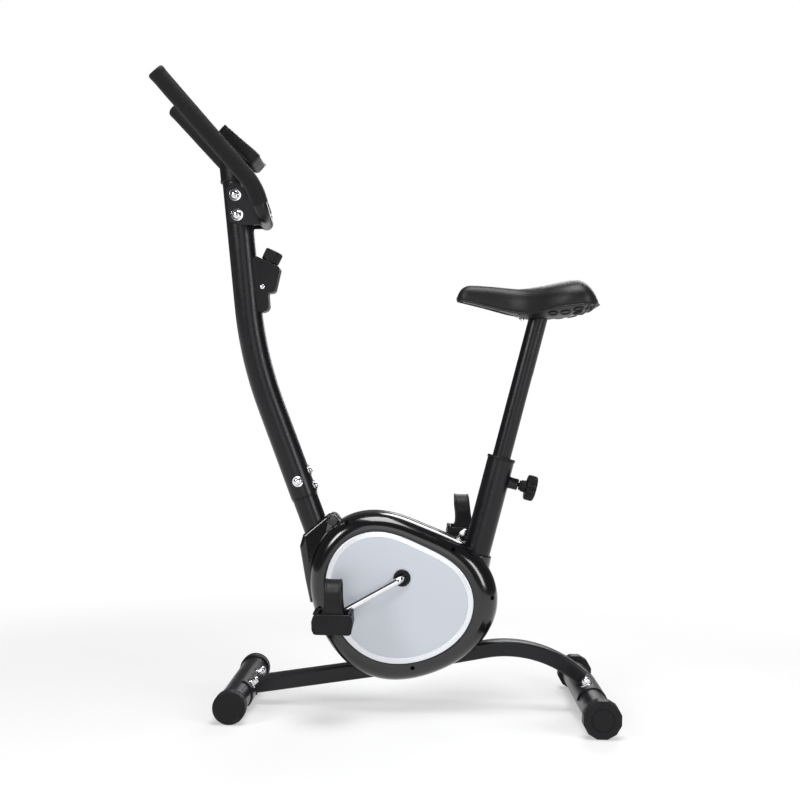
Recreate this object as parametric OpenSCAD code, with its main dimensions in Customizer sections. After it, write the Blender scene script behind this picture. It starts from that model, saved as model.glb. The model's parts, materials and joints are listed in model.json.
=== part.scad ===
// Upright magnetic exercise bike: two stabilisers on a bent beam, a raked mast with a
// horn handlebar and console, an egg-shaped drive shroud and a height-adjustable saddle.
// Front of the bike is -X, the rider's left is -Y, the floor is Z = 0.

/* [Frame] */
// Outer diameter of the mast and of the seat tube
tube_d = 50; // [46:1:54]
// Wall thickness of the steel tubes
tube_wall = 1.5; // [1.2:0.1:2.5]
// Width of the base beam
beam_w = 40; // [36:1:44]
// Height of the base beam
beam_h = 28; // [26:1:30]
// Radius of the bend at the rear of the base beam
beam_bend_r = 212; // [180:2:230]

/* [Stabilisers] */
// Length of the front stabiliser over its rollers
front_len = 360; // [340:2:400]
// Length of the rear stabiliser over its levelling caps
rear_len = 430; // [400:2:460]
// Diameter of the front transport rollers
roller_d = 57.6; // [56:0.2:60]
// Distance across the flats of the rear levelling caps
cap_flats = 65.4; // [62:0.2:68]
// How far the levelling cap's middle sits off the tube axis
cap_offset = 2; // [0:0.5:3]

/* [Mast] */
// Lean of the upper part of the mast from the vertical
mast_top_tilt = 7.1; // [5:0.1:9]
// Lean of the lower part of the mast from the vertical
mast_foot_tilt = 21.8; // [20:0.1:23]
// Radius of the bend between them
mast_bend_r = 730; // [600:10:800]

/* [Handlebar] */
// Diameter of the handlebar tube
bar_d = 25; // [22:0.5:26]
// Outer diameter of the foam grips
grip_d = 30.6; // [29:0.2:32]
// Half the distance between the grip ends
bar_half_top = 140; // [130:1:145]
// Half the distance between the lower corners
bar_half_low = 61; // [58:1:64]
// Angle at which the bar is set round the mast
bar_yaw = 4; // [0:0.5:4]

/* [Drive] */
// Crank arm length
crank_len = 134.5; // [130:0.5:140]
// Angle of the left crank arm below the horizontal
crank_angle = 29.6; // [0:0.1:45]
// Diameter of the crank rod
crank_rod_d = 12.5; // [12:0.1:13]
// Radius at which the belt runs on the drive pulley
pulley_r = 80; // [76:1:80]
// Radius at which the belt runs on the flywheel pulley
small_pulley_r = 12.5; // [12:0.5:13]
// Flywheel radius
flywheel_r = 70; // [66:1:72]

/* [Shroud] */
// Half the width of the shroud
shroud_half = 60; // [58:1:62]
// Wall thickness of the shroud
shroud_wall = 2.5; // [2:0.1:3]

/* [Seat] */
// Diameter of the seat post
post_d = 34.5; // [34:0.1:35]
// Lean of the seat post from the vertical
post_tilt = 13.3; // [12:0.1:14]
// Spacing of the height holes in the seat post
hole_pitch = 25; // [20:1:30]
// Diameter of the knob that holds the height
knob_d = 48; // [44:1:50]

/* [Hidden] */
$fn = 64;

// the whole bike is set so that the middle of its footprint is the origin
x_ref = 10.46;
module at_ref() translate([x_ref, 0, 0]) children();

BLACK = [0.10, 0.10, 0.11];
GLOSS = [0.05, 0.05, 0.06];
CHROME = [0.80, 0.80, 0.82];
SILVER = [0.74, 0.77, 0.81];

// ---- helpers -------------------------------------------------------------
function unit(v) = v / norm(v);
function turn(P, i) = acos(max(-1, min(1, unit(P[i] - P[i-1]) * unit(P[i+1] - P[i]))));
function tlen(P, R, i) = (i <= 0 || i >= len(P) - 1) ? 0 : R[i] * tan(turn(P, i) / 2);
function sidev(u) = abs(u[1]) < 0.9 ? unit([0, 1, 0] - u * u[1]) : unit([0, 0, 1] - u * u[2]);
module axes(x, y, z, o) multmatrix([[x[0], y[0], z[0], o[0]], [x[1], y[1], z[1], o[1]], [x[2], y[2], z[2], o[2]], [0, 0, 0, 1]]) children();
// a profile carried along a polyline whose corners are rounded to radius R[i];
// the second child is the profile of the short weld bead over each end of a bend
module bent(P, R) {
    for (i = [0 : len(P) - 2]) {
        u = unit(P[i+1] - P[i]);
        a = P[i] + u * tlen(P, R, i);
        l = norm(P[i+1] - P[i]) - tlen(P, R, i) - tlen(P, R, i + 1);
        y = sidev(u);
        axes(cross(y, u), y, u, a) linear_extrude(height = l) children(0);
        if (i > 0) axes(cross(y, u), y, u, a) translate([0, 0, -0.3]) linear_extrude(height = 0.6) children(1);
        if (i < len(P) - 2) axes(cross(y, u), y, u, a + u * l) translate([0, 0, -0.3]) linear_extrude(height = 0.6) children(1);
    }
    if (len(P) > 2) for (i = [1 : len(P) - 2]) {
        u = unit(P[i] - P[i-1]);
        v = unit(P[i+1] - P[i]);
        n = unit(v - u * (u * v));
        a = P[i] - u * tlen(P, R, i);
        axes(-n, u, cross(u, n), a + n * R[i]) rotate_extrude(angle = turn(P, i)) translate([R[i], 0]) children(0);
    }
}
module bent_rod(P, R, r) bent(P, R) { circle(r = r); circle(r = r + 0.04); }
module ring(ro, ri) difference() { circle(r = ro); circle(r = ri); }
// a cylinder from point a along direction d
module rod(a, d, l, r, r2 = -1, fn = 48) { u = unit(d); y = sidev(u); axes(cross(y, u), y, u, a) cylinder(h = l, r1 = r, r2 = r2 < 0 ? r : r2, $fn = fn); }
module along(a, d) { u = unit(d); y = sidev(u); axes(cross(y, u), y, u, a) children(); }
module ybar(x, z, y0, y1, r, fn = 48) translate([x, y0, z]) rotate([-90, 0, 0]) cylinder(h = y1 - y0, r = r, $fn = fn);

// ---- main points, X and Z in the plane of the bike -----------------------
tr = tube_d / 2;
front_ax = [-250, 0, roller_d / 2];
rear_cap_z = cap_flats / 2;
rear_ax = [386.1, 0, rear_cap_z - cap_offset];
crank_ax = [39.3, 0, 244.5];
fly_ax = [3, 0, 150];
beam_pts = [[-237, 0, 32.3], [25, 0, 75.2], [285.8, 0, 127.8], [375.5, 0, 62.6]];
beam_r = [0, 300, beam_bend_r, 0];
mast_knee = [-247.4, 0, 638.2];
mt = [-sin(mast_top_tilt), 0, cos(mast_top_tilt)];
mf = [sin(mast_foot_tilt), 0, -cos(mast_foot_tilt)];
mast_pts = [mast_knee + mt * 352, mast_knee, mast_knee + mf * 274];
mast_r = [0, mast_bend_r, 0];
neck_lo = mast_knee + mf * 620;
neck_r = tr - tube_wall - 0.1;
pt = [sin(post_tilt), 0, cos(post_tilt)];
pn = [cos(post_tilt), 0, -sin(post_tilt)];
post_0 = [216, 0, 460.8];      // on the seat tube's axis, at its top
pin_0 = [207.5, 0, 424.8];     // on the same axis, where the height pin crosses it
post_r = post_d / 2;

// ---- frame ---------------------------------------------------------------
module beam_profile(e = 0) square([beam_h + 2 * e, beam_w + 2 * e], center = true);
module beam_body(e = 0) bent(beam_pts, beam_r) { beam_profile(e); beam_profile(e + 0.04); }
module saddle_plate(ax, a0, a1) translate(ax) rotate([90, 0, 0]) translate([0, 0, -75])
    linear_extrude(height = 150) intersection() { ring(tr + 3.1, tr + 0.1); polygon([[0, 0], for (k = [0 : 6]) let (a = a0 + (a1 - a0) * k / 6) 60 * [cos(a), sin(a)]]); }
module base_beam() at_ref() color(BLACK) {
    difference() {
        union() {
            difference() {
                beam_body();
                bent([beam_pts[0] + [26, 0, 4.25], beam_pts[1], beam_pts[2], beam_pts[3] - [1.2, 0, -0.87]], beam_r) { beam_profile(-tube_wall); beam_profile(-tube_wall + 0.04); }
            }
            // weld block under the rear end of the beam
            along(beam_pts[3] - [1.6, 0, -1.16] - [1.9, 0, 2.6], [0.809, 0, -0.588]) translate([-8, -17, 0]) cube([16, 34, 22]);
        }
        ybar(front_ax[0], front_ax[2], -60, 60, tr + 2.6);
        ybar(rear_ax[0], rear_ax[2], -60, 60, tr + 2.6);
    }
    difference() {
        union() { saddle_plate(front_ax, -46, 74); saddle_plate(rear_ax, 8, 172); }
        for (y = [-47, 47]) { translate([0, y, 0]) { rod(front_ax, [cos(38), 0, sin(38)], 40, 4.3); rod(rear_ax, [cos(104), 0, sin(104)], 40, 4.3); } }
    }
}
module neck_tube() at_ref() color(BLACK) difference() {
    union() {
        bent([mast_knee + mf * 214, neck_lo], [0, 0]) ring(neck_r, neck_r - 2);
        // lug for the brake arm's pivot
        difference() {
            union() {
                translate([0, -30, 0]) linear_extrude_y(12, [[-84, 222], [-32, 226], [-27, 236], [-33, 246], [-92, 256]]);
                ybar(-37, 236, -56, -25, 4);
                ybar(-37, 236, -57.2, -54.6, 6.5);
            }
            rod(mast_knee + mf * 200, mf, 400, neck_r - 1);
        }
    }
    beam_body(0);
    translate([-200, -60, -200]) cube([400, 120, 285]);
    for (s = [231.5, 261.5]) rod(mast_knee + mf * s, [cos(mast_foot_tilt), 0, sin(mast_foot_tilt)], 40, 4.3);
    ybar((mast_knee + mf * 244)[0], (mast_knee + mf * 244)[2], -40, 40, 4.3);
}
module linear_extrude_y(w, pts) rotate([90, 0, 0]) translate([0, 0, -w]) linear_extrude(height = w) polygon(pts);
module seat_tube() at_ref() color(BLACK) difference() {
    union() {
        bent([post_0 - pt * 380, post_0], [0, 0]) ring(tr, tr - tube_wall);
        difference() { rod(pin_0, pn, 42, 11); rod(pin_0 - pt * 60, pt, 120, tr - 1); }
    }
    beam_body(0);
    rod(pin_0, pn, 60, 4.16);
    translate([0, -60, -110]) cube([400, 120, 206]);
}
module crank_housing() at_ref() color(BLACK) difference() {
    union() {
        ybar(crank_ax[0], crank_ax[2], -34, 34, 23);
        // two struts down to the beam and one plate to each upright
        difference() {
            union() {
                for (y = [-15, 15]) translate([0, y, 0]) rod([crank_ax[0], 0, crank_ax[2]], [0.16, 0, -1], 170, 8);
                translate([0, -12, 0]) linear_extrude_y(4, [[-60, 262], [40, 266], [150, 268], [150, 236], [40, 226], [-60, 232]]);
            }
            beam_body(0);
            rod(neck_lo - mf * 400, mf, 400, neck_r + 0.05);
            rod(post_0 - pt * 380, pt, 380, tr + 0.05);
        }
    }
    ybar(crank_ax[0], crank_ax[2], -35, 35, 20.5);
}
module flywheel_bracket() at_ref() color(BLACK) difference() {
    for (s = [-1, 1]) translate([0, s > 0 ? 14 : -18, 0]) linear_extrude_y(4, [[-17, 60], [27, 66], [24, 150], [17, 166], [3, 171], [-11, 166], [-18, 150]]);
    beam_body(0);
    ybar(fly_ax[0], fly_ax[2], -30, 30, 14);
    rod([crank_ax[0], 15, crank_ax[2]], [0.16, 0, -1], 170, 8.1);
    rod([crank_ax[0], -15, crank_ax[2]], [0.16, 0, -1], 170, 8.1);
    rod(mast_knee + mf * 200, mf, 480, neck_r + 0.1);
}

// ---- stabilisers ---------------------------------------------------------
module stab_tube(ax, half, ang) difference() {
    translate([ax[0], -half, ax[2]]) rotate([-90, 0, 0]) linear_extrude(height = 2 * half) ring(tr, tr - tube_wall);
    for (y = [-47, 47]) translate([0, y, 0]) rod(ax, [cos(ang), 0, sin(ang)], 40, 4.3);
}
module front_stabiliser() at_ref() color(BLACK) stab_tube(front_ax, front_len / 2 - 28, 38);
module rear_stabiliser() at_ref() color(BLACK) stab_tube(rear_ax, rear_len / 2 - 27, 104);
module per_bolt() for (y = [-47, 47]) { translate([0, y, 0] + front_ax) rotate([0, 90 - 38, 0]) children(); translate([0, y, 0] + rear_ax) rotate([0, 90 - 104, 0]) children(); }
module stabiliser_bolts() at_ref() color(CHROME) per_bolt() union() {
    translate([0, 0, tr - 6]) cylinder(h = 3, r1 = 8, r2 = 7);
    translate([0, 0, tr - 4]) cylinder(h = 17, r = 4);
}
module stabiliser_nuts() at_ref() color(CHROME) per_bolt() {
    difference() {
        union() {
            translate([0, 0, tr + 3.4]) cylinder(h = 1.6, r = 10.5);
            translate([0, 0, tr + 5]) cylinder(h = 6.5, r = 7.4, $fn = 6);
            translate([0, 0, tr + 11.5]) cylinder(h = 3.2, r1 = 6, r2 = 3.4, $fn = 32);
        }
        translate([0, 0, tr]) cylinder(h = 13.3, r = 4.05);
    }
}
module roller_plugs() at_ref() color(BLACK) for (s = [-1, 1]) translate(front_ax) rotate([s > 0 ? -90 : 90, 0, 0]) translate([0, 0, front_len / 2 - 28]) {
    translate([0, 0, -24]) cylinder(h = 24, r = tr - tube_wall - 0.05);
    cylinder(h = 1.5, r = tr);
    translate([0, 0, 1.5]) cylinder(h = 24, r = 5);
    translate([0, 0, 20.9]) cylinder(h = 2.7, r = 9);
}
module roller() difference() {
    union() {
        cylinder(h = 24, r = roller_d / 2 - 1);
        translate([0, 0, 3]) cylinder(h = 19, r = roller_d / 2);
        for (k = [0 : 35]) rotate(k * 10) translate([roller_d / 2 - 1.2, -0.9, 2]) cube([1.2, 1.8, 21]);
    }
    translate([0, 0, -1]) cylinder(h = 30, r = 5.06);
    translate([0, 0, 18.7]) cylinder(h = 2.6 + 3, r = 9.4);
}
module roller_disc() translate([0, 0, 24.3]) cylinder(h = 1.7, r = roller_d / 2 - 1.4);
module front_roller(s) translate(front_ax) rotate([s > 0 ? -90 : 90, 0, 0]) translate([0, 0, front_len / 2 - 26]) { roller(); translate([0, 0, 0]) roller_lid(); }
module roller_lid() difference() { translate([0, 0, 23.9]) cylinder(h = 2.1, r = roller_d / 2 - 2.2); translate([0, 0, 20]) cylinder(h = 4.4, r = 9.4); }
module front_roller_left() at_ref() color(BLACK) front_roller(-1);
module front_roller_right() at_ref() color(BLACK) front_roller(1);
module rear_cap(s) translate(rear_ax) rotate([s > 0 ? -90 : 90, 0, 0]) translate([0, 0, rear_len / 2 - 28]) difference() {
    union() {
        translate([0, s > 0 ? -cap_offset : cap_offset, 0]) {
            rotate(15) cylinder(h = 26, r = rear_cap_z / cos(15), $fn = 12);
            rotate(15) translate([0, 0, 26]) cylinder(h = 2, r = rear_cap_z / cos(15) - 1.6, $fn = 12);
        }
        translate([0, 0, -18]) cylinder(h = 19, r = tr - tube_wall - 0.07);
    }
    translate([0, 0, -1]) linear_extrude(height = 2.4) ring(tr + 0.4, tr - tube_wall - 0.07);
    translate([0, 0, 26.8]) linear_extrude(height = 2) ring(22, 20.5);
    translate([0, 0, -19]) cylinder(h = 40, r = 19);
}
module rear_cap_left() at_ref() color(BLACK) rear_cap(-1);
module rear_cap_right() at_ref() color(BLACK) rear_cap(1);

// ---- mast and handlebar --------------------------------------------------
mn = [cos(mast_top_tilt), 0, sin(mast_top_tilt)];
fnr = [cos(mast_foot_tilt), 0, sin(mast_foot_tilt)];
bolt_a = mast_knee + mt * 297.5;   // upper handlebar bolt on the mast's axis
bolt_b = mast_knee + mt * 260.8;   // lower one
foot_a = mast_knee + mf * 231.5;
foot_b = mast_knee + mf * 261.5;
foot_side = mast_knee + mf * 244;
module mast() at_ref() color(BLACK) difference() {
    bent_rod(mast_pts, mast_r, tr);
    bent_rod([mast_pts[0] + mt * 2, mast_pts[1], mast_pts[2] + mf * 2], mast_r, tr - tube_wall);
    for (p = [bolt_a, bolt_b]) ybar(p[0], p[2], -40, 40, 4.3);
    for (p = [foot_a, foot_b]) rod(p, fnr, 40, 4.3);
    ybar(foot_side[0], foot_side[2], -40, 40, 4.3);
    rod([-225.5, 0, 772], [-24.5, 0, -27], 34, 4);
}
module pan_head(h0) { translate([0, 0, h0]) cylinder(h = 2.4, r = 7); translate([0, 0, h0 + 2.4]) cylinder(h = 2.4, r1 = 7, r2 = 3.8); }
module mast_bolts() at_ref() color(CHROME) {
    for (p = [foot_a, foot_b]) along(p, fnr) { translate([0, 0, neck_r - 8]) cylinder(h = 12.8, r = 4); pan_head(tr + 2.6); }
    for (s = [-1, 1]) along(foot_side, [0, s, 0]) { translate([0, 0, neck_r - 8]) cylinder(h = 12.8, r = 4); pan_head(tr + 2.6); }
    for (p = [foot_a, foot_b]) along(p, fnr) difference() { translate([0, 0, tr - 2]) cylinder(h = 4.5, r = 9.6); translate([-60, 0, 0]) rotate([0, 90, 0]) cylinder(h = 120, r = tr + 0.1); cylinder(h = 60, r = 3.8); }
    for (s = [-1, 1]) along(foot_side, [0, s, 0]) difference() { translate([0, 0, tr - 2]) cylinder(h = 4.5, r = 9.6); washer_cut(s); cylinder(h = 60, r = 3.8); }
}
// the mast's own cylinder seen from a side bolt's frame, whose x and y axes lie in the plane of the bike
module washer_cut(s) { u = [0, s, 0]; y = sidev(u); x = cross(y, u); d = [mf * x, mf * y, 0]; rod(-60 * d, d, 120, tr + 0.1); }

bar_c = [-231.3, 0, 892];
// yaw of the bar about an upright axis through its lower corners
module bar_frame() translate([bar_c[0], 0, 0]) rotate(bar_yaw) translate([-bar_c[0], 0, 0]) children();
function bar_tip(s) = [-417.2, s * bar_half_top, 1120.5];
function bar_knee(s) = [-249, s * (bar_half_low + 17), 942.7];
function bar_low(s) = [bar_c[0], s * bar_half_low, bar_c[2]];
module bar_chain(r, e = 0) bent_rod([bar_tip(-1) + unit(bar_tip(-1) - bar_knee(-1)) * e, bar_knee(-1), bar_low(-1), bar_low(1), bar_knee(1), bar_tip(1) + unit(bar_tip(1) - bar_knee(1)) * e], [0, 110, 28, 28, 110, 0], r);
module handlebar() at_ref() color(BLACK) bar_frame() difference() { bar_chain(bar_d / 2); bar_chain(bar_d / 2 - tube_wall, 2); }
module grip(s) {
    t = bar_tip(s); k = bar_knee(s); e = bar_low(s); d = unit(t - k); g = e + unit(k - e) * 22;
    difference() {
        union() {
            bent_rod([t, k, g], [0, 110, 0], grip_d / 2);
            along(t, d) rotate_extrude() polygon([[0, -7], [grip_d / 2 + 0.4, -7], [grip_d / 2 + 0.4, 1], for (a = [15 : 15 : 90]) [grip_d / 2 - 4.6 + 5 * cos(a), 1 + 5 * sin(a)], [0, 6]]);
        }
        bent_rod([t, k, g - unit(k - e) * 3], [0, 110, 0], bar_d / 2 + 0.05);
    }
}
module grip_left() at_ref() color(BLACK) bar_frame() grip(-1);
module grip_right() at_ref() color(BLACK) bar_frame() grip(1);
// welded to the bar, it holds the mast between two cheeks
module handlebar_bracket() at_ref() color(BLACK) difference() {
    union() {
        for (s = [-1, 1]) translate([0, s > 0 ? tr + 0.2 : -tr - 3.2, 0]) linear_extrude_y(3, [[-301, 944], [-293, 955], [-280, 955], [-232, 912], [-222, 904], [-222, 884], [-234, 880], [-270, 878], [-294, 884]]);
        // web behind the mast
        difference() {
            along(mast_knee + mt * 246, mt) translate([0, 0, -2]) difference() { cylinder(h = 62, r = tr + 3.2); translate([0, 0, -1]) cylinder(h = 64, r = tr + 0.2); translate([-80, -40, -1]) cube([80, 80, 66]); }
        }
    }
    bar_frame() ybar(bar_c[0], bar_c[2], -80, 80, bar_d / 2 + 0.02);
    for (p = [bolt_a, bolt_b]) ybar(p[0], p[2], -60, 60, 4.3);
}
module handlebar_bolts() at_ref() color(CHROME) for (p = [bolt_a, bolt_b]) {
    ybar(p[0], p[2], -29.5, 34, 4);
    for (s = [-1, 1]) along([p[0], 0, p[2]], [0, s, 0]) {
        difference() { translate([0, 0, tr + 3.3]) cylinder(h = 1.6, r = 11); cylinder(h = 60, r = 3.9); }
        if (s < 0) { translate([0, 0, tr + 4.4]) cylinder(h = 3.4, r = 7.4); translate([0, 0, tr + 7.8]) cylinder(h = 2.2, r1 = 7.2, r2 = 4); }
        else { translate([0, 0, tr + 4.9]) cylinder(h = 6.5, r = 7.4, $fn = 6); }
    }
}

// ---- console -------------------------------------------------------------
con_c = [-270.5, 0, 1028.8];
module con_frame() translate(con_c) rotate([0, 39.8, 0]) children();
module rrect(w, h, r) { square([w - 2 * r, h], center = true); square([w, h - 2 * r], center = true); for (x = [-1, 1], y = [-1, 1]) translate([x * (w / 2 - r), y * (h / 2 - r)]) circle(r = r); }
module console_housing() at_ref() color(BLACK) con_frame() difference() {
    union() {
        translate([-2, 0, -19]) linear_extrude(height = 17) rrect(88, 110, 16);
        translate([-2, 0, -24.5]) linear_extrude(height = 5.6) rrect(78, 98, 14);
    }
    translate([-2, 0, -17]) linear_extrude(height = 30) rrect(83, 105, 13.5);
    translate([-2, 0, -22]) linear_extrude(height = 6) rrect(73, 93, 11.5);
    translate([4, 0, -25]) linear_extrude(height = 4) square([34.4, 60.4], center = true);
}
module console_bezel() at_ref() color(GLOSS) con_frame() difference() {
    union() {
        translate([-2, 0, -1.9]) linear_extrude(height = 2.9) rrect(88, 110, 16);
        translate([-2, 0, -6]) linear_extrude(height = 4.2) rrect(82.4, 104.4, 13.2);
    }
    translate([-2, 0, -7]) linear_extrude(height = 3.4) rrect(79, 101, 12);
    translate([-14, 0, -4]) linear_extrude(height = 10) rrect(42, 76, 4);
    for (y = [-28, 0, 28]) translate([27, y, -8]) cylinder(h = 12, r = 8.3);
}
module console_screen() at_ref() color([0.55, 0.60, 0.55]) con_frame() translate([-14, 0, -2.6]) linear_extrude(height = 2.4) rrect(41.6, 75.6, 3.8);
module con_button(y) con_frame() translate([27, y, -5.4]) { cylinder(h = 7.2, r = 8); translate([0, 0, 7.2]) cylinder(h = 0.8, r1 = 8, r2 = 7.2); translate([0, 0, -1.2]) cylinder(h = 1.3, r = 9.6); }
module mode_button() at_ref() color(BLACK) con_button(-28);
module set_button() at_ref() color(BLACK) con_button(0);
module reset_button() at_ref() color(BLACK) con_button(28);
module battery_cover() at_ref() color(BLACK) con_frame() translate([4, 0, -24.4]) linear_extrude(height = 2.2) rrect(34, 60, 2);
module mast_cap() at_ref() color(BLACK) difference() {
    union() {
        along(mast_knee + mt * 325, mt) cylinder(h = 60, r = tr + 2.6);
        along(mast_knee + mt * 325, mt) translate([0, 0, 1.5]) cylinder(h = 3, r = tr + 3.4);
    }
    along(mast_knee + mt * 320, mt) cylinder(h = 32.2, r = tr + 0.1);
    con_frame() translate([-60, -60, -24.6]) cube([120, 120, 80]);
}

// ---- resistance control --------------------------------------------------
ten_c = [-221.4, 0, 814.8];
ten_d = [sin(24), 0, cos(24)];
module tension_housing() at_ref() color(BLACK) difference() {
    union() {
        translate([0, -17, 0]) linear_extrude_y(34, [[-252, 822], [-243, 823.5], [-203.5, 806.2], [-200.5, 801], [-208.5, 761], [-213, 757.5], [-221.5, 757], [-219, 731], [-222.5, 724.5], [-229, 721.5], [-246, 721.5]]);
    }
    rod(mast_knee + mt * 40, mt, 200, tr + 0.1);
    translate([-20, -14, -3]) linear_extrude_y(28, [[-224, 808], [-192, 795], [-198, 768], [-214, 768]]);
    along(ten_c, ten_d) translate([0, 0, -30]) cylinder(h = 60, r = 5.06);
    bent_rod(mast_pts, mast_r, tr + 0.1);
    bent_rod([[-225.5, 0, 806], [-225.5, 0, 772], [-250, 0, 745], mast_knee], [0, 14, 20, 0], 3);
}
module tension_screw() at_ref() color(CHROME) along([-231.9, -17.1, 767.4], [0, -1, 0]) { cylinder(h = 1.8, r = 4.6); translate([0, 0, 1.8]) cylinder(h = 1.1, r1 = 4.6, r2 = 3); }
module tension_knob() at_ref() color(BLACK) along(ten_c, ten_d) {
    translate([0, 0, 0.6]) cylinder(h = 20.4, r = 15.6);
    translate([0, 0, 21]) cylinder(h = 1.4, r1 = 15.6, r2 = 14);
    for (k = [0 : 23]) rotate(k * 15) translate([14.9, -1.1, 1.6]) cube([2.2, 2.2, 18.6]);
    translate([0, 0, -9]) cylinder(h = 10, r = 5);
}
module tension_cable() at_ref() color(BLACK) bent_rod([[-225.5, 0, 803], [-225.5, 0, 772], [-250, 0, 745], mast_knee, mast_knee + mf * 440], [0, 14, 20, 480, 0], 2);

// ---- shroud --------------------------------------------------------------
// the egg outline: a circle of radius R pulled out of round by its 2nd and 3rd harmonics
function egg(c, R, a2, b2, a3, b3, off, n) = [for (k = [0 : n - 1]) let (t = 360 * k / n, r = R + a2 * cos(2 * t) + b2 * sin(2 * t) + a3 * cos(3 * t) + b3 * sin(3 * t) - off) [c[0] + r * cos(t), c[1] + r * sin(t)]];
EGG_N = 48;
function shell_pts(off) = egg([35.5, 207], 160, 11, -9, 8.5, 4, off, EGG_N);
function panel_pts(off) = egg([31, 207], 124, 8.5, -9, 5.5, 2, off, 96);
function face_pts(off) = egg([31, 207], 124, 8.5, -9, 5.5, 2, off, EGG_N);
function mix(A, B, f) = [for (i = [0 : len(A) - 1]) A[i] * (1 - f) + B[i] * f];
module slab(pts, y) rotate([90, 0, 0]) translate([0, 0, y]) linear_extrude(height = 0.2) polygon(pts);
module shell_solid(w, y0) hull() {
    slab(shell_pts(w), y0);
    for (t = [0, 30, 55, 75, 90]) slab(mix(shell_pts(w), face_pts(w), 0.84 * (1 - cos(t))), 24 + (shroud_half - w - 24 - 0.2) * sin(t));
}
module shroud_half_part(s) mirror([0, s > 0 ? 1 : 0, 0]) difference() {
    shell_solid(0, 0.25);
    shell_solid(shroud_wall, -2);
    rod(mast_knee + mf * 200, mf, 320, neck_r + 0.5);
    rod(post_0 - pt * 300, pt, 330, tr + 0.5);
    beam_body(0.5);
    for (p = [[-63.4, 341], [130.4, 298.2], [204, 210.9], [62.4, 82.3], [-107.8, 185.6]]) ybar(p[0], p[1], -70, 5, 2.2, 24);
    ybar(crank_ax[0], crank_ax[2], -80, 10, 12);
}
// faceted collar that fills between the shroud and the neck tube
module shroud_collar() at_ref() color(GLOSS) difference() {
    union() {
        hull() for (q = [[330, 27], [356, 36], [420, 42]]) along(mast_knee + mf * q[0], mf) rotate(22.5) cylinder(h = 0.5, r = q[1], $fn = 8);
        ybar(-93, 349, -10, 10, 10);
    }
    rod(mast_knee + mf * 300, mf, 200, neck_r + 0.5);
    shell_solid(-0.3, -0.3);
    mirror([0, 1, 0]) shell_solid(-0.3, -0.3);
}
module shroud_left() at_ref() color(GLOSS) shroud_half_part(-1);
module shroud_right() at_ref() color(GLOSS) shroud_half_part(1);
module panel(s) mirror([0, s > 0 ? 1 : 0, 0]) difference() {
    union() {
        rotate([90, 0, 0]) translate([0, 0, shroud_half + 0.1]) linear_extrude(height = 2) polygon(panel_pts(0));
        rotate([90, 0, 0]) translate([0, 0, shroud_half + 2.1]) linear_extrude(height = 1) polygon(panel_pts(2));
        rotate([90, 0, 0]) translate([0, 0, shroud_half + 3.1]) linear_extrude(height = 0.5) polygon(panel_pts(8));
    }
    ybar(crank_ax[0], crank_ax[2], -80, 0, 15.2);
}
module panel_left() at_ref() color(SILVER) panel(-1);
module panel_right() at_ref() color(SILVER) panel(1);
module shroud_screws() at_ref() color(CHROME) for (s = [-1, 1]) mirror([0, s > 0 ? 1 : 0, 0])
    for (p = [[-63.4, 341, 33], [130.4, 298.2, 33], [204, 210.9, 30], [62.4, 82.3, 42], [-107.8, 185.6, 42]]) ybar(p[0], p[1], -p[2] - 1.2, -p[2] + 10, 2.1, 24);
module dust_rings() at_ref() color(BLACK) for (s = [-1, 1]) along([crank_ax[0], 0, crank_ax[2]], [0, s, 0]) difference() {
    union() { translate([0, 0, shroud_half - 3]) cylinder(h = 3.2, r = 11.8); translate([0, 0, shroud_half + 0.1]) cylinder(h = 4.2, r = 14.9); translate([0, 0, shroud_half + 4.3]) cylinder(h = 1.2, r1 = 14.9, r2 = 13.4); }
    translate([0, 0, 0]) cylinder(h = 90, r = 7.4);
}

// ---- drive train ---------------------------------------------------------
ca = [-cos(crank_angle), 0, -sin(crank_angle)];
module crank() at_ref() color(CHROME) {
    c = crank_ax;
    difference() {
        union() {
            for (s = [-1, 1]) {
                e = c + s * -1 * ca * crank_len;
                p0 = c + [0, s * 40, 0]; p1 = c + [0, s * 74, 0]; p2 = e + [0, s * 89, 0] - s * -1 * ca * 8;
                bent_rod([p0, p1, p2], [0, 13, 0], crank_rod_d / 2);
                ybar(e[0], e[2], min(s * 82.5, s * 95.5), max(s * 82.5, s * 95.5), 12);
                ybar(e[0], e[2], min(s * 95, s * 169), max(s * 95, s * 169), 6.44);
            }
            ybar(c[0], c[2], -41, 41, crank_rod_d / 2 + 0.75);
        }
    }
}
module pedal_axis(s) translate(crank_ax - s * ca * crank_len) children();
module bearing_cups() at_ref() color(CHROME) for (s = [-1, 1]) along([crank_ax[0], 0, crank_ax[2]], [0, s, 0]) difference() {
    union() { translate([0, 0, 22]) cylinder(h = 13, r = 20.4); translate([0, 0, 34.1]) cylinder(h = 2.4, r = 22.5); }
    cylinder(h = 60, r = crank_rod_d / 2 + 0.8);
    translate([0, 0, 21]) cylinder(h = 8, r = 16);
}
module drive_pulley() at_ref() color(BLACK) along([crank_ax[0], 0, crank_ax[2]], [0, 1, 0]) difference() {
    union() {
        difference() { translate([0, 0, 38.5]) cylinder(h = 8, r = pulley_r); translate([0, 0, 35]) cylinder(h = 5, r = 70); translate([0, 0, 45]) cylinder(h = 5, r = 70); }
        for (z = [37.6, 46.4]) translate([0, 0, z]) difference() { cylinder(h = 1, r = pulley_r + 3); cylinder(h = 1, r = 70); }
        translate([0, 0, 37.5]) cylinder(h = 11, r = 17);
    }
    cylinder(h = 60, r = crank_rod_d / 2 + 0.82);
    for (k = [0 : 5]) rotate(k * 60 + 15) translate([44, 0, 30]) cylinder(h = 20, r = 14);
}
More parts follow.
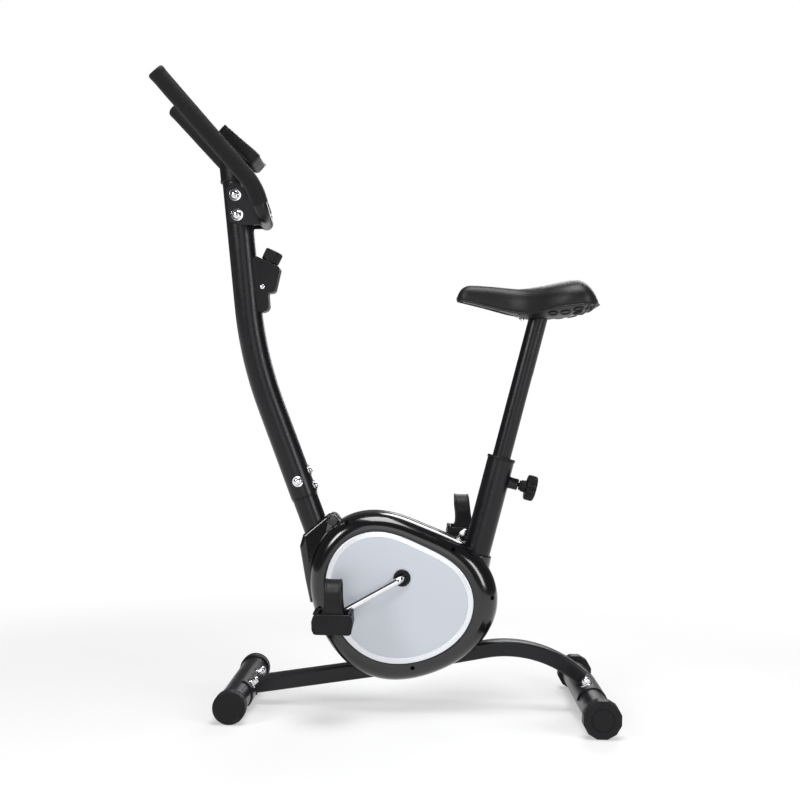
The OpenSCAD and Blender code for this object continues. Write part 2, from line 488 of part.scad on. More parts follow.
module drive_belt() at_ref() color(BLACK) translate([0, 45.8, 0]) rotate([90, 0, 0]) linear_extrude(height = 6.4) difference() {
    hull() { translate([crank_ax[0], crank_ax[2]]) circle(r = pulley_r + 2.8, $fn = 96); translate([fly_ax[0], fly_ax[2]]) circle(r = small_pulley_r + 2.8, $fn = 48); }
    hull() { translate([crank_ax[0], crank_ax[2]]) circle(r = pulley_r + 0.35, $fn = 96); translate([fly_ax[0], fly_ax[2]]) circle(r = small_pulley_r + 0.35, $fn = 48); }
}
module flywheel() at_ref() color([0.35, 0.35, 0.36]) along([fly_ax[0], 0, fly_ax[2]], [0, -1, 0]) difference() {
    union() {
        difference() { translate([0, 0, 30]) cylinder(h = 21, r = flywheel_r); translate([0, 0, 29]) cylinder(h = 8, r = flywheel_r - 14); translate([0, 0, 45]) cylinder(h = 8, r = flywheel_r - 14); }
        translate([0, 0, 28]) cylinder(h = 25, r = 20);
    }
    translate([0, 0, 20]) cylinder(h = 40, r = 6);
}
module flywheel_shaft() at_ref() color(CHROME) {
    ybar(fly_ax[0], fly_ax[2], -54, 52, 5.98);
    for (z = [37.5, 46.6]) difference() { ybar(fly_ax[0], fly_ax[2], z, z + 1, small_pulley_r + 3); ybar(fly_ax[0], fly_ax[2], z - 1, z + 2, 6); }
    difference() { ybar(fly_ax[0], fly_ax[2], 37.6, 47, small_pulley_r); ybar(fly_ax[0], fly_ax[2], 30, 50, 5.9); }
}
module flywheel_bearings() at_ref() color(CHROME) for (y = [-22, 14]) difference() {
    ybar(fly_ax[0], fly_ax[2], y, y + 8, 13.95);
    ybar(fly_ax[0], fly_ax[2], y - 1, y + 9, 6.03);
}
piv = [-37, 0, 236];
module brake_arm() at_ref() color(BLACK) difference() {
    union() {
        rotate([90, 0, 0]) translate([0, 0, 32]) linear_extrude(height = 18) intersection() {
            translate([fly_ax[0], fly_ax[2]]) difference() { circle(r = 85); circle(r = 81.5); }
            translate([fly_ax[0], fly_ax[2]]) polygon([[0, 0], for (a = [112 : 10 : 172]) 120 * [cos(a), sin(a)]]);
        }
        translate([0, -50, 0]) linear_extrude_y(18, [[-45, 232], [-38, 219], [-25, 226], [-31, 241]]);
        ybar(piv[0], piv[2], -50, -32, 8);
    }
    ybar(piv[0], piv[2], -60, -20, 4.06);
}
module brake_magnets() at_ref() color([0.6, 0.6, 0.62]) rotate([90, 0, 0]) translate([0, 0, 33]) linear_extrude(height = 16) for (a = [122, 138, 154]) intersection() {
    translate([fly_ax[0], fly_ax[2]]) difference() { circle(r = 81.4); circle(r = 74.5); }
    translate([fly_ax[0], fly_ax[2]]) polygon([[0, 0], 120 * [cos(a), sin(a)], 120 * [cos(a + 6), sin(a + 6)], 120 * [cos(a + 12), sin(a + 12)]]);
}

// ---- seat ----------------------------------------------------------------
module seat_bushing() at_ref() color(BLACK) along(post_0, -pt) difference() {
    union() { translate([0, 0, -5]) cylinder(h = 5, r = tr + 1.2); cylinder(h = 90, r = tr - tube_wall - 0.1); }
    translate([0, 0, -10]) cylinder(h = 120, r = post_r + 0.06);
    translate([0, 0, norm(post_0 - pin_0)]) rotate([0, -90, 0]) cylinder(h = 60, r = 6.3);
    translate([0, 0, norm(post_0 - pin_0)]) rotate([0, 90, 0]) cylinder(h = 60, r = 6.3);
}
post_top = post_0 + pt * 282;
module plate_at() translate(post_top) rotate([0, -7, 0]) children();
module seat_post() at_ref() color(BLACK) difference() {
    union() {
        bent([post_0 - pt * 150, post_top], [0, 0]) ring(post_r, post_r - 2);
        plate_at() translate([-42, -28, -4]) cube([108, 56, 4]);
    }
    // groove that the height pin rides in, with a hole at each setting
    along(pin_0, pn) translate([0, 0, post_r - 1.9]) translate([-200, -5.2, 0]) cube([400, 10.4, 10]);
    for (k = [-4 : 8]) rod(pin_0 + pt * (k * hole_pitch), pn, 40, 4.6);
    for (p = [[-34, 0], [56, -18], [56, 18]]) plate_at() translate([p[0], p[1], -10]) cylinder(h = 20, r = 3.3);
}
module pan_outline(g) hull() {
    translate([166, 0]) circle(r = 20 + g, $fn = 32);
    translate([262, 0]) circle(r = 34 + g, $fn = 32);
    for (y = [-52, 52]) translate([338, y]) circle(r = 38 + g, $fn = 32);
}
module saddle_pan() at_ref() color(BLACK) difference() {
    hull() {
        translate([166, 0, 744]) cylinder(h = 6.2, r = 20, $fn = 32);
        translate([262, 0, 729]) cylinder(h = 21.2, r = 34, $fn = 32);
        for (y = [-52, 52]) translate([338, y, 739]) cylinder(h = 11.2, r = 38, $fn = 32);
    }
    plate_at() translate([-200, -200, -99.9]) cube([400, 400, 100]);
    rod(post_top - pt * 40, pt, 41, post_r + 0.4);
    for (p = [[-34, 0], [56, -18], [56, 18]]) plate_at() translate([p[0], p[1], -1]) cylinder(h = 2.6, r = 3.3);
}
module saddle_cushion() at_ref() color(GLOSS) difference() {
    hull() {
        translate([153, 0, 765]) sphere(r = 21, $fn = 28);
        translate([160, 0, 750]) cylinder(h = 12, r = 29, $fn = 32);
        translate([250, 0, 731]) cylinder(h = 20, r = 43, $fn = 32);
        for (y = [-52, 52]) translate([334, y, 766]) sphere(r = 30, $fn = 28);
        for (y = [-58, 58]) translate([340, y, 742]) cylinder(h = 15, r = 44, $fn = 32);
    }
    translate([0, 0, 700]) linear_extrude(height = 50.6) pan_outline(0.6);
}
module saddle_nuts() at_ref() color(CHROME) for (p = [[-34, 0], [56, -18], [56, 18]]) plate_at() translate([p[0], p[1], 0]) {
    translate([0, 0, -5.4]) cylinder(h = 1.2, r = 7.5);
    translate([0, 0, -10.4]) cylinder(h = 5, r = 6, $fn = 6);
    translate([0, 0, -13]) cylinder(h = 14, r = 3);
}
module seat_pin() at_ref() color(CHROME) along(pin_0, pn) {
    translate([0, 0, post_r + 0.4]) cylinder(h = 0.9, r1 = 3.2, r2 = 4.1);
    translate([0, 0, post_r + 1.3]) cylinder(h = 45.1, r = 4.1);
}
module seat_knob() at_ref() color(BLACK) along(pin_0, pn) difference() {
    union() {
        translate([0, 0, 44]) cylinder(h = 3, r = 9.5);
        translate([0, 0, 47]) cylinder(h = 9, r1 = 11.5, r2 = 13);
        translate([0, 0, 56]) cylinder(h = 18, r = knob_d / 2 - 3.2);
        translate([0, 0, 74]) cylinder(h = 2.4, r1 = knob_d / 2 - 3.2, r2 = knob_d / 2 - 7);
        for (k = [0 : 7]) rotate(k * 45) translate([knob_d / 2 - 5.4, 0, 57.5]) cylinder(h = 15.5, r = 5.4);
    }
    cylinder(h = 64, r = 4.15);
}

// ---- pedals --------------------------------------------------------------
ped_y0 = 98; ped_y1 = 176;
module pedal(s) pedal_axis(s) mirror([0, s < 0 ? 1 : 0, 0]) {
    difference() {
        union() {
            translate([0, ped_y1, 0]) rotate([90, 0, 0]) linear_extrude(height = ped_y1 - ped_y0) polygon([[-38, -9], [-32, -17], [28, -17], [38, -8], [36, 10], [30, 15], [-30, 15], [-38, 10]]);
        }
        ybar(0, 0, 90, 190, 9);
    }
    difference() { ybar(0, 0, ped_y0 + 0.5, ped_y0 + 14, 9.5); ybar(0, 0, 90, 190, 6.5); }
    difference() { ybar(0, 0, ped_y1 - 20, ped_y1 - 6, 9.5); ybar(0, 0, 90, 190, 6.5); }
    ybar(0, 0, ped_y1 - 4, ped_y1 - 0.5, 9.5);
}
module pedal_left() at_ref() color(BLACK) pedal(-1);
module pedal_right() at_ref() color(BLACK) pedal(1);
module strap(s) pedal_axis(s) mirror([0, s < 0 ? 1 : 0, 0])
    translate([-15, 0, 0]) rotate([90, 0, 90]) linear_extrude(height = 30) difference() {
        polygon([[ped_y0 + 2, 15.3], [ped_y0 - 1, 45], [ped_y0 + 8, 62], [ped_y0 + 30, 70], [ped_y1 - 28, 66], [ped_y1 - 4, 52], [ped_y1 + 3, 30], [ped_y1 + 3.5, -10], [ped_y1 + 0.4, -10], [ped_y1 + 0.4, 15.3]]);
        polygon([[ped_y0 + 5, 15.2], [ped_y0 + 2.4, 44], [ped_y0 + 11, 59], [ped_y0 + 31, 66.6], [ped_y1 - 29, 62.8], [ped_y1 - 7, 50], [ped_y1 - 0.2, 30], [ped_y1 - 0.4, 15.2]]);
    }
module strap_left() at_ref() color(BLACK) strap(-1);
module strap_right() at_ref() color(BLACK) strap(1);

base_beam();
neck_tube();
seat_tube();
crank_housing();
flywheel_bracket();
front_stabiliser();
rear_stabiliser();
stabiliser_bolts();
stabiliser_nuts();
roller_plugs();
front_roller_left();
front_roller_right();
rear_cap_left();
rear_cap_right();
mast();
mast_bolts();
handlebar();
handlebar_bracket();
handlebar_bolts();
grip_left();
grip_right();
mast_cap();
console_housing();
console_bezel();
console_screen();
mode_button();
set_button();
reset_button();
battery_cover();
tension_housing();
tension_screw();
tension_knob();
tension_cable();
shroud_left();
shroud_right();
shroud_collar();
panel_left();
panel_right();
shroud_screws();
dust_rings();
crank();
bearing_cups();
drive_pulley();
drive_belt();
flywheel();
flywheel_shaft();
flywheel_bearings();
brake_arm();
brake_magnets();
seat_bushing();
seat_post();
saddle_pan();
saddle_cushion();
saddle_nuts();
seat_pin();
seat_knob();
pedal_left();
pedal_right();
strap_left();
strap_right();
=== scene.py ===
import bpy, bmesh, math, json
from mathutils import Vector, Matrix


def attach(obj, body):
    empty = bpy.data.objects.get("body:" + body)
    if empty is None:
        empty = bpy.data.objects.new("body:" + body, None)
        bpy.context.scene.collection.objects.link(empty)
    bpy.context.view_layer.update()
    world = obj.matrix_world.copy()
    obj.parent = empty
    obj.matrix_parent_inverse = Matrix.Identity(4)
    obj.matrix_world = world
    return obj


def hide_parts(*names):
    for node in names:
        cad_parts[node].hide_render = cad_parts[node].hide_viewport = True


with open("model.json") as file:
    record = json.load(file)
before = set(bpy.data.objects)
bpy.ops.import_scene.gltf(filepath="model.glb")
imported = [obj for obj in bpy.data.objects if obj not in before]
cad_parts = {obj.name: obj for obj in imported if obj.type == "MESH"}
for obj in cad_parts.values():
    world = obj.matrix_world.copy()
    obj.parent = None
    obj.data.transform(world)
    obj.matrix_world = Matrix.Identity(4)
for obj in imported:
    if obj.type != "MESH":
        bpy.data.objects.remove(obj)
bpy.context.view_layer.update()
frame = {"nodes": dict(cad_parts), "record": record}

NODES = frame["nodes"]
XR = 10.46
TAU = 2 * math.pi
sin, cos, rad = math.sin, math.cos, math.radians


def P(p):
    return Vector(((p[0] + XR) / 1000, p[1] / 1000, p[2] / 1000))


V = lambda *a: Vector(a)

# ------------------------------------------------------------------ materials
def material(name, base, rough, metallic=0.0, coat=0.0, coat_rough=0.1, spec=0.5, bumps=(), vary=0.0, vary_scale=30, rough_vary=0.0, sheen=0.0, emission=None, painted_edge_highlight=0.0):
    m = bpy.data.materials.new(name)
    m.use_nodes = True
    nt = m.node_tree
    b = nt.nodes["Principled BSDF"]
    b.inputs["Base Color"].default_value = (*base, 1)
    b.inputs["Roughness"].default_value = rough
    b.inputs["Metallic"].default_value = metallic
    b.inputs["Coat Weight"].default_value = coat
    b.inputs["Coat Roughness"].default_value = coat_rough
    b.inputs["Specular IOR Level"].default_value = spec
    b.inputs["Sheen Weight"].default_value = sheen
    tc = nt.nodes.new("ShaderNodeTexCoord")
    geo = nt.nodes.new("ShaderNodeNewGeometry")
    L = nt.links.new

    def noise(scale, detail=3, rough_=0.55):
        n = nt.nodes.new("ShaderNodeTexNoise")
        n.inputs["Scale"].default_value = scale
        n.inputs["Detail"].default_value = detail
        n.inputs["Roughness"].default_value = rough_
        L(tc.outputs["Object"], n.inputs["Vector"])
        return n

    n = noise(vary_scale, 4)
    mr = nt.nodes.new("ShaderNodeMapRange")
    mr.inputs["To Min"].default_value = 1 - vary
    mr.inputs["To Max"].default_value = 1 + vary
    mr.inputs["From Min"].default_value = 0.3
    mr.inputs["From Max"].default_value = 0.7
    L(n.outputs["Fac"], mr.inputs["Value"])
    mix = nt.nodes.new("ShaderNodeVectorMath")
    mix.operation = "SCALE"
    mix.inputs[0].default_value = base
    L(mr.outputs["Result"], mix.inputs["Scale"])
    out = mix.outputs["Vector"]
    if painted_edge_highlight:
        # convex edges (high pointiness) are painted lighter: a painted edge highlight
        cr = nt.nodes.new("ShaderNodeMapRange")
        cr.inputs["From Min"].default_value = 0.515
        cr.inputs["From Max"].default_value = 0.60
        cr.inputs["To Min"].default_value = 0.0
        cr.inputs["To Max"].default_value = painted_edge_highlight
        L(geo.outputs["Pointiness"], cr.inputs["Value"])
        mx = nt.nodes.new("ShaderNodeMix")
        mx.data_type = "RGBA"
        L(cr.outputs["Result"], mx.inputs["Factor"])
        L(out, mx.inputs[6])
        mx.inputs[7].default_value = tuple(min(1, c * 2 + 0.05) for c in base) + (1,)
        out = mx.outputs[2]
    L(out, b.inputs["Base Color"])
    if rough_vary:
        n2 = noise(vary_scale * 2.3, 5)
        r2 = nt.nodes.new("ShaderNodeMapRange")
        r2.inputs["From Min"].default_value = 0.3
        r2.inputs["From Max"].default_value = 0.7
        r2.inputs["To Min"].default_value = max(0.02, rough - rough_vary)
        r2.inputs["To Max"].default_value = rough + rough_vary
        L(n2.outputs["Fac"], r2.inputs["Value"])
        L(r2.outputs["Result"], b.inputs["Roughness"])
    prev = None
    for kind, scale, dist, strength in bumps:
        if kind == "voronoi":
            t = nt.nodes.new("ShaderNodeTexVoronoi")
            t.inputs["Scale"].default_value = scale
            L(tc.outputs["Object"], t.inputs["Vector"])
            h = t.outputs["Distance"]
        else:
            t = noise(scale, 2)
            h = t.outputs["Fac"]
        bp = nt.nodes.new("ShaderNodeBump")
        bp.inputs["Distance"].default_value = dist
        bp.inputs["Strength"].default_value = strength
        L(h, bp.inputs["Height"])
        if prev is not None:
            L(prev, bp.inputs["Normal"])
        prev = bp.outputs["Normal"]
    if prev is not None:
        L(prev, b.inputs["Normal"])
    if emission:
        b.inputs["Emission Color"].default_value = (*emission, 1)
        b.inputs["Emission Strength"].default_value = 1
    return m


# frame_paint and black_plastic carry a painted edge highlight: their convex edges are painted lighter
MAT = {
    "frame_paint": material("powder_coat", (0.0042, 0.0042, 0.0058), 0.31, spec=0.33, bumps=[("noise", 1500, 0.0002, 0.25), ("noise", 260, 0.0003, 0.12)], vary=0.12, rough_vary=0.05, painted_edge_highlight=0.10),
    "chrome": material("chrome_plate", (0.78, 0.78, 0.80), 0.10, metallic=1, bumps=[("noise", 60, 0.0003, 0.05)], vary=0.05, rough_vary=0.04, vary_scale=60),
    "bearing_steel": material("ground_steel", (0.50, 0.51, 0.53), 0.28, metallic=1, vary=0.08, rough_vary=0.06),
    "cast_metal": material("turned_iron", (0.19, 0.19, 0.20), 0.42, metallic=0.9, bumps=[("noise", 500, 0.0003, 0.3)], vary=0.15, rough_vary=0.08),
    "magnet": material("plated_magnet", (0.42, 0.42, 0.44), 0.3, metallic=1, vary=0.08, rough_vary=0.05),
    "black_plastic": material("moulded_plastic", (0.0048, 0.0048, 0.0060), 0.43, spec=0.24, bumps=[("noise", 2600, 0.00018, 0.5), ("voronoi", 1300, 0.00012, 0.22)], vary=0.15, rough_vary=0.06, painted_edge_highlight=0.08),
    "gloss_black": material("gloss_black_plastic", (0.0035, 0.0035, 0.0042), 0.17, coat=0.5, coat_rough=0.08, spec=0.45, bumps=[("noise", 38, 0.0006, 0.03)], vary=0.08, rough_vary=0.03),
    "panel_silver": material("silver_panel_paint", (0.56, 0.595, 0.65), 0.34, metallic=0.25, coat=0.35, coat_rough=0.15, bumps=[("noise", 3000, 0.00006, 0.2)], vary=0.018, vary_scale=900, rough_vary=0.03),
    "display_glass": material("display", (0.18, 0.21, 0.18), 0.12, coat=1.0, coat_rough=0.03, vary=0.05),
    "foam": material("grip_foam", (0.0042, 0.0042, 0.0052), 0.6, spec=0.22, bumps=[("voronoi", 1500, 0.0004, 0.35), ("noise", 3200, 0.0003, 0.5)], vary=0.2, vary_scale=400, rough_vary=0.07, sheen=0.03),
    "belt_rubber": material("belt_rubber", (0.012, 0.012, 0.012), 0.7, bumps=[("noise", 2000, 0.0002, 0.4)], vary=0.1),
    "saddle_cover": material("saddle_vinyl", (0.0046, 0.0045, 0.0055), 0.42, spec=0.32, bumps=[("voronoi", 950, 0.00035, 0.32), ("noise", 2400, 0.0002, 0.3), ("noise", 30, 0.0012, 0.12)], vary=0.14, vary_scale=160, rough_vary=0.06, sheen=0.03),
    "strap_vinyl": material("strap_rubber", (0.0060, 0.0060, 0.0072), 0.48, spec=0.28, bumps=[("noise", 1800, 0.0002, 0.4), ("voronoi", 700, 0.0002, 0.15)], vary=0.12, rough_vary=0.06),
    # panel_rim is a lighter copy of the panel paint: a painted highlight on the bevelled border
    "panel_rim": material("silver_panel_border_painted_highlight", (0.80, 0.82, 0.86), 0.28, metallic=0.25, coat=0.4, coat_rough=0.12, vary=0.015, vary_scale=900, rough_vary=0.03),
    "recess": material("shadow_black", (0.003, 0.003, 0.003), 0.7, spec=0.2, bumps=[("noise", 900, 0.0002, 0.3)], vary=0.1),
    # a bright metallic ring on the console face: a painted reflection in place of the bezel's highlight line
    "painted_reflection_trim": material("bezel_painted_reflection", (0.62, 0.63, 0.66), 0.22, metallic=0.9, vary=0.04, rough_vary=0.04),
    "lcd_ink": material("display_segments", (0.03, 0.035, 0.03), 0.3, vary=0.1),
}
slot_of = {s["node"]: s["material_slot"] for s in frame["record"]["subparts"]}
for name, ob in NODES.items():
    ob.data.materials.clear()
    ob.data.materials.append(MAT[slot_of[name]])
    for p in ob.data.polygons:
        p.material_index = 0


# ------------------------------------------------------------------ mesh helpers
def finish_mesh(name, verts, faces, slot, body, replaces=(), angle=32, mats=None, face_mats=None, mat=None):
    me = bpy.data.meshes.new(name)
    me.from_pydata([P(v) for v in verts], [], faces)
    me.validate()
    bm = bmesh.new()
    bm.from_mesh(me)
    bmesh.ops.remove_doubles(bm, verts=bm.verts, dist=1e-6)
    bmesh.ops.recalc_face_normals(bm, faces=bm.faces)
    bm.to_mesh(me)
    bm.free()
    me.shade_smooth()
    me.set_sharp_from_angle(angle=rad(angle))
    ob = bpy.data.objects.new(name, me)
    bpy.context.scene.collection.objects.link(ob)
    me.materials.append(mat or MAT[slot])
    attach(ob, body)
    gone = [r for r in replaces if r in NODES]
    if gone:
        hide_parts(*gone)
    return ob


def rounded(pts, radii, seg=14):
    """A polyline with its inner corners rounded, as a dense list of points."""
    out = [pts[0].copy()]
    for i in range(1, len(pts) - 1):
        a, b, c = pts[i - 1], pts[i], pts[i + 1]
        u, v = (b - a).normalized(), (c - b).normalized()
        th = math.acos(max(-1, min(1, u.dot(v))))
        r = radii[i]
        if th < 1e-4 or r <= 0:
            out.append(b.copy())
            continue
        t = r * math.tan(th / 2)
        n = (v - u * math.cos(th)).normalized()
        cc = b - u * t + n * r
        for k in range(seg + 1):
            f = th * k / seg
            out.append(cc + (-n * math.cos(f) + u * math.sin(f)) * r)
    out.append(pts[-1].copy())
    return out


def frames(path, up):
    """A frame at each point of a path, carried along without twist."""
    T = []
    for i in range(len(path)):
        a = path[max(0, i - 1)]
        b = path[min(len(path) - 1, i + 1)]
        T.append((b - a).normalized())
    T[0] = (path[1] - path[0]).normalized()
    T[-1] = (path[-1] - path[-2]).normalized()
    n = (up - T[0] * up.dot(T[0])).normalized()
    out = []
    for i, t in enumerate(T):
        n = (n - t * n.dot(t)).normalized()
        out.append((path[i], t, n, t.cross(n)))
    return out


def sweep(path, profile, up=V(0, 1, 0)):
    """profile(i, s) gives the closed 2D section at point i, s being the distance along; ends are closed."""
    fr = frames(path, up)
    s = 0
    verts, faces = [], []
    n = None
    for i, (p, t, a, b) in enumerate(fr):
        if i:
            s += (path[i] - path[i - 1]).length
        ring = profile(i, s)
        n = len(ring)
        verts += [p + a * q[0] + b * q[1] for q in ring]
    for i in range(len(fr) - 1):
        for k in range(n):
            faces.append((i * n + k, i * n + (k + 1) % n, (i + 1) * n + (k + 1) % n, (i + 1) * n + k))
    faces.append(tuple(range(n))[::-1])
    faces.append(tuple((len(fr) - 1) * n + k for k in range(n)))
    return verts, faces


def circle(r, n=56):
    return [(r * cos(TAU * k / n), r * sin(TAU * k / n)) for k in range(n)]


def tube(path, r, wall=None, n=56, end=0.6, up=V(0, 1, 0)):
    """A round tube with softened ends. wall hollows it out."""
    path = [p.copy() for p in path]
    u0 = (path[1] - path[0]).normalized()
    u1 = (path[-1] - path[-2]).normalized()
    core = [path[0] + u0 * end] + path[1:-1] + [path[-1] - u1 * end]
    fr = frames(core, up)
    rings = [(path[0], fr[0], r - end)]
    rings += [(f[0], f, r) for f in fr]
    rings += [(path[-1], fr[-1], r - end)]
    if wall:
        rings += [(path[-1], fr[-1], r - wall)]
        rings += [(f[0], f, r - wall) for f in reversed(fr)]
        rings += [(path[0], fr[0], r - wall)]
    verts, faces = [], []
    for p, f, rr in rings:
        verts += [p + f[2] * (rr * cos(TAU * k / n)) + f[3] * (rr * sin(TAU * k / n)) for k in range(n)]
    m = len(rings)
    for i in range(m if wall else m - 1):
        j = (i + 1) % m
        for k in range(n):
            faces.append((i * n + k, i * n + (k + 1) % n, j * n + (k + 1) % n, j * n + k))
    if not wall:
        faces.append(tuple(range(n))[::-1])
        faces.append(tuple((m - 1) * n + k for k in range(n)))
    return verts, faces


def basis(d):
    d = Vector(d).normalized()
    y = V(0, 1, 0) - d * d[1] if abs(d[1]) < 0.9 else V(0, 0, 1) - d * d[2]
    y.normalize()
    return y.cross(d), y, d


def lathe(origin, d, profile, n=64, mod=None, closed=False):
    """profile is a list of (radius, height); radius 0 closes the end."""
    x, y, z = basis(d)
    o = Vector(origin)
    verts, rows = [], []
    for i, (r, h) in enumerate(profile):
        if r <= 1e-6:
            rows.append([len(verts)])
            verts.append(o + z * h)
        else:
            row = []
            for k in range(n):
                a = TAU * k / n
                rr = r + (mod(i, a, r, h) if mod else 0)
                row.append(len(verts))
                verts.append(o + x * (rr * cos(a)) + y * (rr * sin(a)) + z * h)
            rows.append(row)
    faces = []
    m = len(rows)
    for i in range(m if closed else m - 1):
        A, B = rows[i], rows[(i + 1) % m]
        for k in range(n):
            k2 = (k + 1) % n
            if len(A) == 1 and len(B) == 1:
                continue
            if len(A) == 1:
                faces.append((A[0], B[k], B[k2]))
            elif len(B) == 1:
                faces.append((A[k], A[k2], B[0]))
            else:
                faces.append((A[k], A[k2], B[k2], B[k]))
    if not closed:
        for row in (rows[0], rows[-1]):
            if len(row) > 1:
                faces.append(tuple(row))
    return verts, faces


def soft(profile, r=0.8, seg=4):
    """A (radius, height) profile with its corners rounded."""
    pts = [V(a, b, 0) for a, b in profile]
    rr = [0] * len(pts)
    for i in range(1, len(pts) - 1):
        la, lb = (pts[i] - pts[i - 1]).length, (pts[i + 1] - pts[i]).length
        u, v = (pts[i] - pts[i - 1]).normalized(), (pts[i + 1] - pts[i]).normalized()
        th = math.acos(max(-1, min(1, u.dot(v))))
        if th < 0.05:
            continue
        rr[i] = min(r, 0.45 * min(la, lb) / max(1e-6, math.tan(th / 2)))
    return [(max(0, p[0]), p[1]) for p in rounded(pts, rr, seg)]


def stack(outline, levels, place):
    """Rings outline(offset) joined at heights: levels is a list of (offset, height); place(x, y, h) gives the point."""
    verts, faces = [], []
    n = None
    for off, h in levels:
        ring = outline(off)
        n = len(ring)
        verts += [place(q[0], q[1], h) for q in ring]
    for i in range(len(levels) - 1):
        for k in range(n):
            faces.append((i * n + k, i * n + (k + 1) % n, (i + 1) * n + (k + 1) % n, (i + 1) * n + k))
    faces.append(tuple(range(n))[::-1])
    faces.append(tuple((len(levels) - 1) * n + k for k in range(n)))
    return verts, faces


def join(*parts):
    verts, faces = [], []
    for v, f in parts:
        o = len(verts)
        verts += v
        faces += [tuple(i + o for i in g) for g in f]
    return verts, faces


def prism(outline, y0, y1, bevel=1.0, seg=3):
    """An outline in X and Z carried from y0 to y1, with its edges rounded."""
    pts = [V(a, 0, b) for a, b in outline]
    area = sum(pts[i][0] * pts[(i + 1) % len(pts)][2] - pts[(i + 1) % len(pts)][0] * pts[i][2] for i in range(len(pts)))
    if area < 0:
        pts.reverse()

    def inset(e):
        out = []
        n = len(pts)
        for i in range(n):
            a, b, c = pts[i - 1], pts[i], pts[(i + 1) % n]
            u, v = (b - a).normalized(), (c - b).normalized()
            nu, nv = V(-u[2], 0, u[0]), V(-v[2], 0, v[0])
            k = 1 + nu.dot(nv)
            out.append(b + (nu + nv) * (e / max(0.3, k)))
        return out

    lv = [(bevel * (1 - sin(math.pi / 2 * i / seg)), bevel * (1 - cos(math.pi / 2 * i / seg))) for i in range(seg + 1)]
    verts, faces = [], []
    rows = [(e, y0 + h) for e, h in lv] + [(e, y1 - h) for e, h in reversed(lv)]
    n = len(pts)
    for e, y in rows:
        verts += [V(p[0], y, p[2]) for p in inset(e)]
    for i in range(len(rows) - 1):
        for k in range(n):
            faces.append((i * n + k, i * n + (k + 1) % n, (i + 1) * n + (k + 1) % n, (i + 1) * n + k))
    faces.append(tuple(range(n))[::-1])
    faces.append(tuple((len(rows) - 1) * n + k for k in range(n)))
    return verts, faces


def round_outline(pts, r, seg=5):
    """Closed 2D outline with every corner rounded."""
    out = []
    n = len(pts)
    R = r if isinstance(r, (list, tuple)) else [r] * n
    for i in range(n):
        a, b, c = (V(*pts[i - 1], 0), V(*pts[i], 0), V(*pts[(i + 1) % n], 0))
        u, v = (b - a).normalized(), (c - b).normalized()
        th = math.acos(max(-1, min(1, u.dot(v))))
        t = min(R[i] * math.tan(th / 2), 0.48 * (b - a).length, 0.48 * (c - b).length)
        if th < 0.03 or t < 1e-4:
            out.append((b[0], b[1]))
            continue
        rr = t / math.tan(th / 2)
        nn = (v - u * math.cos(th)).normalized()
        cc = b - u * t + nn * rr
        for k in range(seg + 1):
            f = th * k / seg
            q = cc + (-nn * math.cos(f) + u * math.sin(f)) * rr
            out.append((q[0], q[1]))
    return out


def rrect(w, h, r, seg=8):
    return round_outline([(-w / 2, -h / 2), (w / 2, -h / 2), (w / 2, h / 2), (-w / 2, h / 2)], r, seg)


def boolean(ob, cutter, op="DIFFERENCE"):
    m = ob.modifiers.new("cut", "BOOLEAN")
    m.object = cutter
    m.operation = op
    m.solver = "EXACT"
    dg = bpy.context.evaluated_depsgraph_get()
    me = bpy.data.meshes.new_from_object(ob.evaluated_get(dg))
    ob.modifiers.clear()
    old = ob.data
    ob.data = me
    bpy.data.meshes.remove(old)


def temp(verts, faces):
    me = bpy.data.meshes.new("t")
    me.from_pydata([P(v) for v in verts], [], faces)
    bm = bmesh.new()
    bm.from_mesh(me)
    bmesh.ops.recalc_face_normals(bm, faces=bm.faces)
    bm.to_mesh(me)
    bm.free()
    ob = bpy.data.objects.new("t", me)
    bpy.context.scene.collection.objects.link(ob)
    return ob


def drop(ob):
    me = ob.data
    bpy.data.objects.remove(ob)
    bpy.data.meshes.remove(me)


def mirror_y(part, s):
    return ([V(v[0], v[1] * s, v[2]) for v in part[0]], part[1])


# ------------------------------------------------------------------ main points, as in the CAD
front_ax, rear_ax = V(-250, 0, 28.8), V(386.1, 0, 30.7)
crank_ax, fly_ax = V(39.3, 0, 244.5), V(3, 0, 150)
knee = V(-247.4, 0, 638.2)
mt = V(-sin(rad(7.1)), 0, cos(rad(7.1)))
mf = V(sin(rad(21.8)), 0, -cos(rad(21.8)))
pt = V(sin(rad(13.3)), 0, cos(rad(13.3)))
pn = V(cos(rad(13.3)), 0, -sin(rad(13.3)))
post_0, pin_0 = V(216, 0, 460.8), V(207.5, 0, 424.8)

# ------------------------------------------------------------------ base beam and its saddle plates
beam = rounded([V(-237, 0, 32.3), V(25, 0, 75.2), V(285.8, 0, 127.8), V(375.5, 0, 62.6)], [0, 300, 212, 0], 20)


def beam_ring(grow=0.0):
    return rrect(40 + 2 * grow, 28 + 2 * grow, 4.5, 5)


bm_path = [beam[0] + (beam[1] - beam[0]).normalized() * 12] + beam[1:]
parts = [sweep(bm_path, lambda i, s: beam_ring(-0.5 if i == len(bm_path) - 1 else 0))]


def arc_plate(ax, a0, a1, y0=-75, y1=75, r0=25.15, r1=28.1, n=26):
    verts, faces = [], []
    prof = [(r0, y0), (r1 - 0.8, y0), (r1, y0 + 0.8), (r1, y1 - 0.8), (r1 - 0.8, y1), (r0, y1)]
    m = len(prof)
    for k in range(n + 1):
        a = rad(a0 + (a1 - a0) * k / n)
        for r, y in prof:
            verts.append(V(ax[0] + r * cos(a), y, ax[2] + r * sin(a)))
    for k in range(n):
        for i in range(m):
            faces.append((k * m + i, k * m + (i + 1) % m, (k + 1) * m + (i + 1) % m, (k + 1) * m + i))
    faces.append(tuple(range(m)))
    faces.append(tuple(n * m + i for i in range(m))[::-1])
    return verts, faces


parts += [arc_plate(front_ax, -46, 74), arc_plate(rear_ax, 8, 172)]
